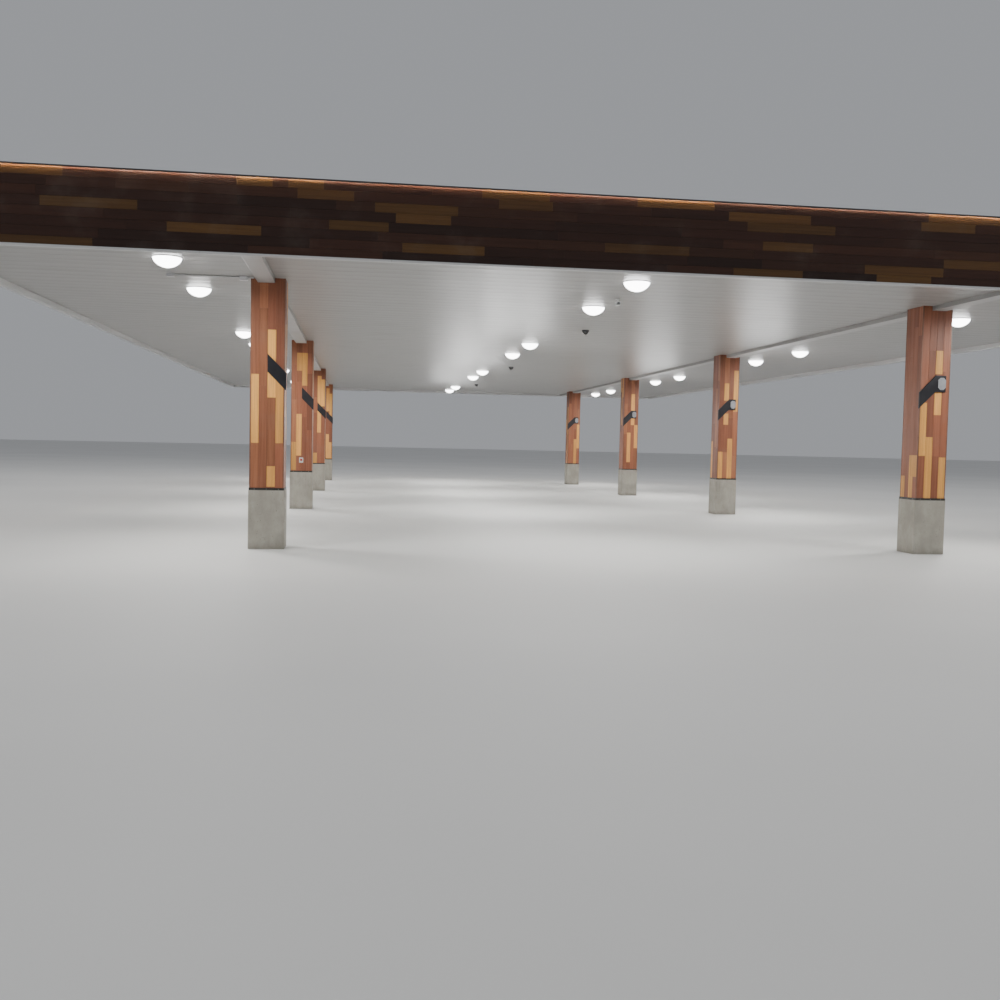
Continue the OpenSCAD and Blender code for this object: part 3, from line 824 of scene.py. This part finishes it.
def makeFasciaPlanks():
    v = plankValues
    courses = round((planksHigh - planksLow) / v["cover"])
    for k, side in enumerate(facings):
        form = Form(("plankPlace", "plankTone", "plankShade"))
        place, reach, half = sidePlace(k, .0016)
        for course in range(courses):
            low = planksLow + course * v["cover"]
            tans = fasciaTans[course] if k == 0 else []
            for start, end, tone in boardsAlong(-half, half, tans, v["fasciaLengths"], k > 0):
                tone -= draw.choice([0, 0, .05, .14]) if tone < .9 else .05
                outline = [(start, low), (end, low), (end, low + v["cover"]), (start, low + v["cover"])]
                addBoard(form, outline, reach, place, 0, tone)
        form.make("boards_" + side, ["fasciaPlanks"], "fascia_planks", ["fascia_" + side])


makeColumnPlanks()
makeFasciaPlanks()
print("planks laid")


# Folded metal round the edge, in lengths with open joints and splice plates behind them

trimValues = {
    "length": 3.05, "gap": .004, "mitreGap": .002, "sheet": .003, "bend": .0012, "lens": .0045,
    "copingOut": .036, "copingIn": .108, "copingLip": .027, "copingSplice": .075,
    "copingRivets": (-.045, .045), "rivetDown": .012, "rivet": [(.0032, 0), (.0026, .0007)],
    "sillOut": .006, "sillIn": .106, "sillLip": .028, "sillSplice": .06, "sillRivets": (-.03, .03),
    "sillRows": (.022, .078), "sillRivet": [(.0035, 0), (.003, .0006)], "sillJoints": {1: (-6.27,), 3: (5.8,)},
}


def jointsAlong(half, fixed=()):
    count = math.ceil(2 * half / trimValues["length"])
    joints = [-half + (i + .5) * 2 * half / count for i in range(count)]
    joints = [u for u in joints if abs(u) < half - .5]
    for place in fixed:
        nearest = min(joints, key=lambda u: abs(u - place))
        joints[joints.index(nearest)] = place
    return joints


def trimSides(fixed=None):
    # for each side of the roof: its number, its place, how far out it is, its joints
    sides = [(k, *sidePlace(k, trimValues["mitreGap"])) for k in range(4)]
    return [(k, place, reach, jointsAlong(half, (fixed or {}).get(k, ()))) for k, place, reach, half in sides]


def addRun(form, outline, k, joints, mark=0):
    # an outline of (distance inward from the planks' face, height), carried along side k between its joints
    place, reach, half = sidePlace(k, trimValues["mitreGap"])
    gap = trimValues["gap"] / 2
    ends = [-half - 1] + sorted(joints) + [half + 1]
    for i in range(len(ends) - 1):
        a = ends[i] + (gap if i else 0)
        b = ends[i + 1] - (gap if i < len(ends) - 2 else 0)
        form.loops([[place(u, z, reach - d) for d, z in outline] for u in (a, b)], mark)


def addSplice(form, outline, k, u, half):
    # a plate behind the joint at u, half as long to each side
    place, reach, _ = sidePlace(k, trimValues["mitreGap"])
    form.loops([[place(u + du, z, reach - d) for d, z in outline] for du in (-half, half)], 1)


def makeCoping():
    t = trimValues
    form = Form()
    s, b, top = t["sheet"], t["bend"], copingTopZ
    low = top - t["copingLip"]
    out, back = -t["copingOut"], t["copingIn"]
    a, c, e = out + s, back - s, top - s
    outline = [(out, low), (a, low), (a, e), (c, e), (c, low), (back, low),
               (back, top - b), (back - b, top), (out + b, top), (out, top - b)]
    foot, loose, thick = low + .004, .0002, .0014
    splice = [(a + loose, foot), (a + thick, foot), (a + thick, e - thick), (c - thick, e - thick),
              (c - thick, foot), (c - loose, foot), (c - loose, e - loose), (a + loose, e - loose)]
    for k, place, reach, joints in trimSides():
        addRun(form, outline, k, joints)
        for u in joints:
            addSplice(form, splice, k, u, t["copingSplice"])
            for du in t["copingRivets"]:
                rivet = place(u + du, top - t["rivetDown"], reach - out - .0008)
                form.turned(t["rivet"], 8, spot(*rivet, facings[k]), 2)
    form.make("coping_lengths", ["darkTrim", "liningBoard", "darkTrim"], "dark_trim", ["coping"])


def makeSillTrim():
    t = trimValues
    form = Form()
    s, low, b = t["sheet"], trimLow, t["bend"]
    out, back = -t["sillOut"], t["sillIn"]
    lip = low + t["sillLip"]
    outline = [(out, low + b), (out + b, low), (back - b, low), (back, low + b), (back, soffitZ),
               (back - s, soffitZ), (back - s, low + s), (out + s, low + s), (out + s, lip), (out, lip)]
    a, c, e = out + s + .002, back - s - .002, low + s
    splice = [(a, e), (c, e), (c, e + .0012), (a, e + .0012)]
    for k, place, reach, joints in trimSides(t["sillJoints"]):
        addRun(form, outline, k, joints)
        for u in joints:
            addSplice(form, splice, k, u, t["sillSplice"])
            for du in t["sillRivets"]:
                for d in t["sillRows"]:
                    form.turned(t["sillRivet"], 8, spot(*place(u + du, low + .0006, reach - d), "down"), 1)
    form.make("sill_lengths", ["whiteTrim", "galvanised"], "white_trim", ["sill_trim"])


def makeLightStrip():
    # a small channel under the coping, with a glowing lens in its corner next to the planks
    t = trimValues
    low = boxOf("cove_light")[0]
    outer = -halfLength - low.y
    inner = t["copingOut"] - t["sheet"] - outer
    r = t["lens"]
    turns = [math.radians(step * 22.5 - 90) for step in range(5)]
    arc = [(r * math.cos(a) - inner - r, r * math.sin(a) + low.z + r) for a in turns]
    channel = [(-outer, low.z), arc[0], arc[-1], (-inner, planksHigh), (-outer, planksHigh)]
    form = Form()
    for k, _, _, joints in trimSides():
        addRun(form, channel, k, joints)
        addRun(form, arc, k, joints, 1)
    form.make("light_strip", ["darkTrim", "warmStrip"], "cove_strip", ["cove_light"])


makeCoping()
makeSillTrim()
makeLightStrip()
print("edge trim folded")


# Gutters: joint covers with rivets

gutterPieces = {
    "joint": 3.6, "cover": .11, "proud": .002, "in": .110, "floorOut": .170, "out": .230,
    "rivet": (.007, .0018), "floorRivets": (-.13, -.03, .07), "rows": (-.035, .035), "clear": .45, "shift": .7,
}


def makeGutterJoints():
    g = gutterPieces
    form = Form()
    inner, floorOut, out, p = g["in"], g["floorOut"], g["out"], g["proud"]
    for row, side, inward in (("left", -1, "right"), ("right", 1, "left")):
        low, high = boxOf("gutter_" + row)
        x = columnPlace[row[0] + "1"][0]
        drop = soffitZ - low.z
        count = round((high.y - low.y) / g["joint"])
        ring = [(inner + p, 0), (inner + p, -drop - p), (-floorOut - p * .6, -drop - p), (-out - p, 0),
                (-out, 0), (-floorOut, -drop), (inner, -drop), (inner, 0)]
        for i in range(1, count):
            y = low.y + i * (high.y - low.y) / count
            if min(abs(y - girder) for girder in girderYs) < g["clear"]:
                y += g["shift"]
            form.loops([[(x - side * u, y + dy, soffitZ + z) for u, z in ring]
                        for dy in (-g["cover"] / 2, g["cover"] / 2)])
            for dy in g["rows"]:
                for u in g["floorRivets"]:
                    form.screw(spot(x - side * u, y + dy, soffitZ - drop - p, "down"), *g["rivet"])
                form.screw(spot(x - side * (inner + p), y + dy, soffitZ - drop * .5, inward), *g["rivet"])
    form.make("gutter_joints", ["gutterSheet"], "white_sheet")


makeGutterJoints()
print("gutter joints made")


# Lights: drop lenses with fine ribs, rings, driver lids, and joints and straps on the conduits over the deck

lightValues = {
    "rim": .215, "taper": 1.12, "drop": .150, "under": .008, "ribs": 36, "ribDepth": .006, "ribbedTo": .12,
    "ringScrews": .2195, "ringScrew": (.008, .0035), "lid": (.27, .19), "lidThick": .006,
    "lidScrews": (.12, .08), "lidScrew": (.009, .004), "fin": (.20, .004), "fins": 9, "finPitch": .015,
    "finHigh": .010,
}


def makeLenses():
    v = lightValues
    form = Form()
    turns = [i * math.pi / v["ribs"] for i in range(2 * v["ribs"])]
    for x, y in lightPlaces:
        place = spot(x, y, soffitZ - v["under"], "down")
        rings = []
        for step in range(18):
            a = math.radians(step * 5)
            r, w = v["rim"] * math.cos(a) ** v["taper"], v["drop"] * math.sin(a) ** v["taper"]
            rib = r * (1 - v["ribDepth"] * (r > v["ribbedTo"]))
            radii = [r, rib] * v["ribs"]
            rings.append([place(s * math.cos(t), s * math.sin(t), w) for s, t in zip(radii, turns)])
        form.loops(rings, smooth=True)
    form.make("drop_lenses", ["glowingLens"], "light_lens", ["light_lenses"])


def makeLightFittings():
    v = lightValues
    under, upper = Form(), Form()
    seat = soffitZ - v["under"]
    top = boxOf("lights_centre")[1].z
    lidTop = top + v["lidThick"]
    inner, outer = v["rim"] + .001, v["rim"] + .004
    bead = [(inner, -.001), (outer, 0), (outer, .003), (inner, .004)]
    for x, y in lightPlaces:
        under.turned(bead, 48, spot(x, y, seat, "down"), 0, True)
        for dx, dy in onCircle(v["ringScrews"], 6):
            under.screw(spot(x + dx, y + dy, seat + .001, "down"), *v["ringScrew"], 1)
        upper.block(v["lid"], v["lidThick"], spot(x, y, top, "up"), 0, .002, .01)
        for dx, dy in corners(*v["lidScrews"]):
            upper.screw(spot(x + dx, y + dy, lidTop, "up"), *v["lidScrew"], 1)
        for i in range(v["fins"]):
            dy = (i - (v["fins"] - 1) / 2) * v["finPitch"]
            upper.slab(v["fin"], v["finHigh"], spot(x, y + dy, lidTop, "up"))
    under.make("light_rings", ["lampHousing", "zincBolts"], "light_housing")
    upper.make("driver_lids", ["lampHousing", "zincBolts"], "light_housing")


pipeValues = {"boxHalf": .1, "strapEvery": 1.3, "couplingOver": 4, "couplingFrom": .31}
strapValues = {
    "roof": {"pipe": .011, "loose": .0004, "thick": 1.14, "half": .010, "foot": (.022, .020),
             "screw": (.009, .004), "screwOut": .014, "mark": 1},
    "soffit": {"pipe": .0135, "loose": .0012, "thick": 1.10, "half": .009, "foot": (.020, .018),
               "screw": (.008, .003), "screwOut": .0125, "mark": 0},
    "sheet": .0016, "footOut": .011,
}


def addStrap(form, kind, place):
    # a strap over a pipe, with a foot and a screw on each side. u is across the pipe, v along it
    s = strapValues[kind]
    pipe, sheet = s["pipe"], strapValues["sheet"]
    footOut, screwOut, r = pipe + strapValues["footOut"], pipe + s["screwOut"], pipe + s["loose"]
    arc = [(r * math.cos(math.radians(t)), r * math.sin(math.radians(t))) for t in range(0, 181, 20)]
    ring = arc + [(u * s["thick"], w * s["thick"]) for u, w in arc[::-1]]
    form.loops([[place(u, v, pipe + w) for u, w in ring] for v in (-s["half"], s["half"])], s["mark"])
    for side in (-1, 1):
        form.slab(s["foot"], sheet, lambda u, v, w: place(side * footOut + u, v, w), s["mark"], .0004)
        form.screw(lambda u, v, w: place(side * screwOut + u, v, sheet + w), *s["screw"], 1)


def makeConduitJoints():
    # connectors at the driver boxes, couplings and straps on the conduits over the deck
    p = pipeValues
    r = strapValues["roof"]["pipe"]
    form = Form()
    z = ribTopZ + r
    connector = [(r * 1.9, 0), (r * 1.9, .006), (r * 1.45, .008), (r * 1.45, .026), (r * 1.15, .028)]
    coupling = [(r * 1.18, -.03), (r * 1.3, -.028), (r * 1.3, .028), (r * 1.18, .03)]
    for x, ys in lightLines:
        for before, after in zip(ys, ys[1:]):
            a, b = before + p["boxHalf"], after - p["boxHalf"]
            for y, facing in ((a, "back"), (b, "front")):
                form.turned(connector, 12, spot(x, y, z, facing), 1, True)
            straps = max(2, round((b - a) / p["strapEvery"]))
            for j in range(straps):
                addStrap(form, "roof", spot(x, a + (j + .5) * (b - a) / straps, ribTopZ, "up"))
            if b - a > p["couplingOver"]:
                form.turned(coupling, 12, spot(x, (a + b) / 2 + p["couplingFrom"], z, "back"), 1, True)
    form.make("conduit_joints", ["galvanised", "zincBolts"], "conduit")


makeLenses()
makeLightFittings()
makeConduitJoints()
print("lights fitted")


# Steel frame: bolts, deck clips and the gussets of the fascia's studs

boltValues = {
    "girder": (.034, .05), "girderBolt": (.019, .011), "post": (.062, .052), "postBolt": (.030, .017),
    "capBolt": (.030, .015), "capApart": (2.1, 2.4), "flange": .012, "under": .008, "capUnder": .022,
}
clipValues = {"size": (.045, .030), "thick": .003, "out": .072, "screw": (.011, .006), "screwOut": .008,
              "up": .0005}
gussetValues = {
    "rail": .018, "stud": .050, "spacing": 2.0, "foot": .068, "height": .26, "sheet": .005, "toe": .03,
    "head": .02, "footHalf": .032, "cheekHalf": .024, "cheekFrom": .05, "bolt": (.013, .008), "boltOut": .018,
    "clear": .3,
}


def makeFrameBolts():
    b = boltValues
    form = Form()
    above = purlinTopZ + b["flange"]
    for y in girderYs:
        for x in purlinXs:
            for dx, dy in corners(*b["girder"]):
                form.bolt(spot(x + dx, y + dy, above, "up"), *b["girderBolt"])
                form.bolt(spot(x + dx, y + dy, purlinTopZ - b["under"], "down"), *b["girderBolt"])
    across, along = b["capApart"]
    for x, y in columnPlace.values():
        for dx, dy in corners(*b["post"]):
            form.bolt(spot(x + dx, y + dy, above, "up"), *b["postBolt"])
            place = spot(x + dx * across, y + dy * along, purlinTopZ - b["capUnder"], "down")
            form.bolt(place, *b["capBolt"])
    form.make("frame_bolts", ["zincBolts"], "frame_steel")


def makeDeckClips():
    c = clipValues
    form = Form()
    low = boxOf("deck_centre")[0]
    z = ribTopZ + c["up"]
    for i in range(1, round(deckLength / panPitch)):
        y = low.y + i * panPitch
        for x in purlinXs:
            form.slab(c["size"], c["thick"], spot(x + c["out"], y, z, "up"), 0, .0006)
            form.screw(spot(x + c["out"] + c["screwOut"], y, z + c["thick"], "up"), *c["screw"])
    form.make("deck_clips", ["zincBolts"], "deck_sheet")


def makeFasciaGussets():
    # a bolted gusset at the foot of each stud, standing on the edge channel
    g = gussetValues
    form = Form()
    w, h, t = g["foot"], g["height"], g["sheet"]
    outline = [(0, 0), (w, 0), (w, g["toe"]), (g["head"], h), (0, h)]
    heights = (g["cheekFrom"], h - g["head"])
    z = purlinTopZ

    def strip(side, out):
        return [(side * t / 2, 0), (side * out, 0), (side * out, t), (side * t / 2, t)]
    for k in range(4):
        place, reach, half = sidePlace(k)
        face = reach - fasciaDepth
        length = 2 * (half - (g["rail"] if k % 2 == 0 else fasciaDepth)) - g["stud"]
        bays = math.ceil(length / g["spacing"])
        for j in range(1, bays):
            u = j * length / bays - length / 2
            if k % 2 and min(abs(place(u, z, face)[1] - girder) for girder in girderYs) < g["clear"]:
                continue
            form.loops([[place(u + side, z + v, face - d) for d, v in outline] for side in (-t / 2, t / 2)])
            for side in (-1, 1):
                # the two feet and the two cheeks that are folded from the gusset
                foot, cheek = strip(side, g["footHalf"]), strip(side, g["cheekHalf"])
                form.loops([[place(u + a, z + v, face - d) for a, v in foot] for d in (.004, w)])
                form.loops([[place(u + a, z + v, face - d) for a, d in cheek] for v in heights])
                form.bolt(spot(*place(u + side * g["boltOut"], z + t, face - w * .55), "up"), *g["bolt"], 1)
    form.make("fascia_gussets", ["galvanised", "zincBolts"], "galvanised_steel")


makeFrameBolts()
makeDeckClips()
makeFasciaGussets()
print("steel fitted")


# Columns: flashing screws, marker bands and the stop switch

flashingValues = {"out": .007, "screws": (-.20, 0, .20), "screw": (.010, .003)}


def makeFlashingScrews():
    f = flashingValues
    form = Form()
    low, high = boxOf("column_flashings")
    for x, y in columnPlace.values():
        for facing in facings:
            base = spot(x, y, (low.z + high.z) / 2, facing)
            for u in f["screws"]:
                form.screw(spot(*base(u, 0, claddingHalf + f["out"]), facing), *f["screw"])
    form.make("flashing_screws", ["zincBolts"], "dark_trim")


markerValues = {"thick": .026, "height": .300, "foot": 2.715, "tail": .200, "edge": .004}


def makeMarkers():
    m = markerValues
    form = Form()
    thick, e = m["thick"], m["edge"]
    levels = [(0, 0, 0), (thick - e, 0, 0), (thick - e * .3, e * .3, e * .3), (thick, e, e)]
    corner, foot = claddingHalf + thick, m["foot"] - thick
    middle = m["foot"] + claddingHalf
    top = middle + m["height"]
    for x, y in columnPlace.values():
        # the right row's run the other way, with a level tail
        flip = -1 if x > 0 else 1
        tail = [(-m["tail"], top), (-m["tail"], middle)] if x > 0 else []
        outline = [(corner, foot), (corner, foot + m["height"]), (0, top)] + tail + [(0, middle)]
        form.plate([(u * flip, z) for u, z in outline], levels, spot(x, y - claddingHalf, 0, "front"))
    form.make("marker_bands", ["markerMetal"], "dark_trim", ["column_markers"])


switchValues = {
    "z": 1.33, "plate": (.11, .14), "thick": .006, "up": .006, "screws": (.044, .058), "screw": (.009, .003),
    "seal": [(.033, .006), (.033, .010), (.031, .012)],
    "button": [(.014, .012), (.014, .022), (.022, .026), (.0285, .029), (.0300, .0325), (.0285, .0365),
               (.022, .0392), (.010, .0400)],
}


def makeStopSwitch():
    s = switchValues
    low, high = boxOf("stop_switch")
    x, front = (low.x + high.x) / 2, high.y
    form = Form()
    form.block(s["plate"], s["thick"], spot(x, front, s["z"], "front"), 0, .0015, .012)
    button = spot(x, front, s["z"] + s["up"], "front")
    form.turned(s["seal"], 32, button, 2, True)
    form.turned(s["button"], 32, button, 1, True)
    for u, v in corners(*s["screws"]):
        form.screw(spot(x + u, front - s["thick"], s["z"] + v, "front"), *s["screw"], 3)
    materials = ["switchPlate", "switchRed", "rubberSeal", "zincBolts"]
    form.make("stop_button", materials, "stop_switch", ["stop_switch"])


makeFlashingScrews()
makeMarkers()
makeStopSwitch()
print("columns fitted")


# Cameras and conduit under the soffit

cameraParts = {
    "rim": [(.0805, -.002), (.0805, .002), (.0765, .005), (.0705, .005), (.0700, 0)], "deep": .036,
    "screws": .0745, "screw": (.006, .002), "hood": [(.022, -.004), (.022, 0), (.018, 0)],
    "glass": [(.0165, -.006), (.012, -.0045), (.004, -.004)], "eyeUp": .029,
}


def makeCameraFittings():
    c = cameraParts
    form = Form()
    low, high = boxOf("camera_domes")
    x, z = (low.x + high.x) / 2, soffitZ - c["deep"]
    for y in middlesAlong("camera_domes", 1):
        form.turned(c["rim"], 48, spot(x, y, z, "down"), 0, True)
        for dx, dy in onCircle(c["screws"], 3):
            form.screw(spot(x + dx, y + dy, z - .0045, "down"), *c["screw"], 1)
    low = boxOf("camera_bases")[0]
    start, end = groupsAlong("camera_bases", 0, .2)[0]
    face = spot((start + end) / 2, low.y, low.z + c["eyeUp"], "front")
    form.turned(c["hood"], 24, face, 0, True)
    form.turned(c["glass"], 24, face, 2, True)
    form.make("camera_fittings", ["cameraShell", "zincBolts", "smokedDome"], "camera_base")


conduitValues = {
    "box": .110, "lid": (.112, .112), "deep": .050, "straps": (.42, .88), "lastStrap": .12,
    "connector": [(.019, 0), (.019, .012), (.016, .014), (.016, .026), (.0145, .028)],
    "turnBox": (.125, .125), "turnLid": (.131, .131), "turnDeep": .062, "turnPlace": (-.17, -.01),
    "lidScrew": (.007, .0025), "lidScrews": .044, "turnScrews": .05,
}


def makeConduitFittings():
    c = conduitValues
    form = Form()
    under = [v.co for v in nodes["conduits"].data.vertices if v.co.z < soffitZ - .001]
    start, end = min(p.x for p in under), max(p.x for p in under)
    y = (min(p.y for p in under) + max(p.y for p in under)) / 2
    z = soffitZ - strapValues["soffit"]["pipe"]
    form.turned(c["connector"], 16, spot(start + c["box"], y, z, "right"), 0, True)
    for x in [start + place for place in c["straps"]] + [end - c["lastStrap"]]:
        addStrap(form, "soffit", lambda u, v, w: (x + v, y + u, soffitZ - w))
    # the box at the turn, then the lid of the box at the conduit's start
    x, turnY, z = end + c["turnPlace"][0], y + c["turnPlace"][1], soffitZ - c["turnDeep"]
    form.block(c["turnBox"], c["turnDeep"], spot(x, turnY, soffitZ, "down"), 2, .003, .01)
    form.block(c["turnLid"], .004, spot(x, turnY, z, "down"), 2, .001, .01, -.001)
    for u in (-c["turnScrews"], c["turnScrews"]):
        form.screw(spot(x + u, turnY - u, z - .003, "down"), *c["lidScrew"], 1)
    x, z = start + c["box"] / 2, soffitZ - c["deep"]
    form.block(c["lid"], .003, spot(x, y, z, "down"), 0, .001, .006, -.0005)
    for u in (-c["lidScrews"], c["lidScrews"]):
        form.screw(spot(x + u, y + u, z - .0025, "down"), *c["lidScrew"], 1)
    form.make("conduit_fittings", ["conduitPaint", "zincBolts", "lampHousing"], "conduit")


makeCameraFittings()
makeConduitFittings()
print("cameras and conduit fitted")


# Materials of the CAD parts

nodeFinish = {
    "pier_": "concrete", "cladding_": "columnPlanks", "column_flashings": "darkTrim",
    "steel_posts": "primedSteel", "girders": "primedSteel", "purlins": "primedSteel",
    "edge_channels": "primedSteel", "deck_": "whiteSheet", "gutter_": "gutterSheet", "lights_": "lampHousing",
    "light_lenses": "glowingLens", "fascia_": "fasciaPlanks", "fascia_frame": "galvanised",
    "coping": "darkTrim", "sill_trim": "whiteTrim", "cove_light": "warmStrip", "column_markers": "markerMetal",
    "marker_lenses": "lensPlate", "stop_switch": "switchRed", "camera_domes": "smokedDome",
    "camera_bases": "cameraShell", "conduits": "conduitMetal",
}
for name, node in nodes.items():
    key = name if name in nodeFinish else next(k for k in nodeFinish if name.startswith(k))
    node.data.materials.clear()
    node.data.materials.append(finishes[nodeFinish[key]])
for name in ("camera_domes", "camera_bases", "conduits"):
    data = nodes[name].data
    data.shade_smooth()
    data.set_sharp_from_angle(angle=math.radians(35))
print("CAD parts painted")


# Floor and light

# Each of the three lights has its place, target, size, energy and colour
studioValues = {
    "floor": 420, "sky": (.68, .70, .74), "skyStrength": .50,
    "lights": {
        "top_light": ((0, -6, 46), (0, -6, 0), 60, 14000, (1, .99, .97)),
        "key_light": ((-26, -40, 30), (0, -6, 2), 18, 400, (1, .98, .95)),
        "fill_light": ((30, -34, 18), (2, -4, 2), 16, 250, (.93, .96, 1)),
    },
    "lamp": 140, "lampColour": (1, .985, .95), "lampSize": .36, "lampUnder": .175, "spread": 178,
    "box": 52, "boxSize": (1.9, .8), "boxZ": 2.5,
    "boxes": [(0, -4.9), (0, 5.6), (0, 16), (6.9, -5.3), (6.9, 5.6)],
}


def addAreaLight(name, place, target, size, energy, colour=(1, 1, 1)):
    data = bpy.data.lights.new(name, "AREA")
    if isinstance(size, tuple):
        data.shape = "RECTANGLE"
        data.size, data.size_y = size
    else:
        data.shape = "DISK"
        data.size = size
    data.energy = energy
    data.color = colour
    light = bpy.data.objects.new(name, data)
    bpy.context.scene.collection.objects.link(light)
    light.location = place
    aim = Vector(target) - Vector(place)
    light.rotation_euler = aim.to_track_quat("-Z", "Y").to_euler()
    light.visible_camera = False
    return light


def makeStudio():
    s = studioValues
    mesh = bpy.data.meshes.new("studio_floor")
    turns = [i * math.tau / 64 for i in range(64)]
    edge = [(s["floor"] * math.cos(a), s["floor"] * math.sin(a), -.002) for a in turns]
    mesh.from_pydata(edge, [], [list(range(64))])
    mesh.materials.append(finishes["studioFloor"])
    floor = bpy.data.objects.new("studio_floor", mesh)
    bpy.context.scene.collection.objects.link(floor)
    world = bpy.data.worlds.new("studio")
    world.use_nodes = True
    sky = world.node_tree.nodes["Background"]
    sky.inputs["Color"].default_value = (*s["sky"], 1)
    sky.inputs["Strength"].default_value = s["skyStrength"]
    bpy.context.scene.world = world
    for name, values in s["lights"].items():
        addAreaLight(name, *values)
    z = soffitZ - s["lampUnder"]
    for x, y in lightPlaces:
        light = addAreaLight("lamp_light", (x, y, z), (x, y, 0), s["lampSize"], s["lamp"], s["lampColour"])
        light.data.spread = math.radians(s["spread"])
    for x, y in s["boxes"]:
        addAreaLight("soft_box", (x, y, s["boxZ"]), (x, y - 1, s["boxZ"]), s["boxSize"], s["box"])


makeStudio()
print("studio lit")
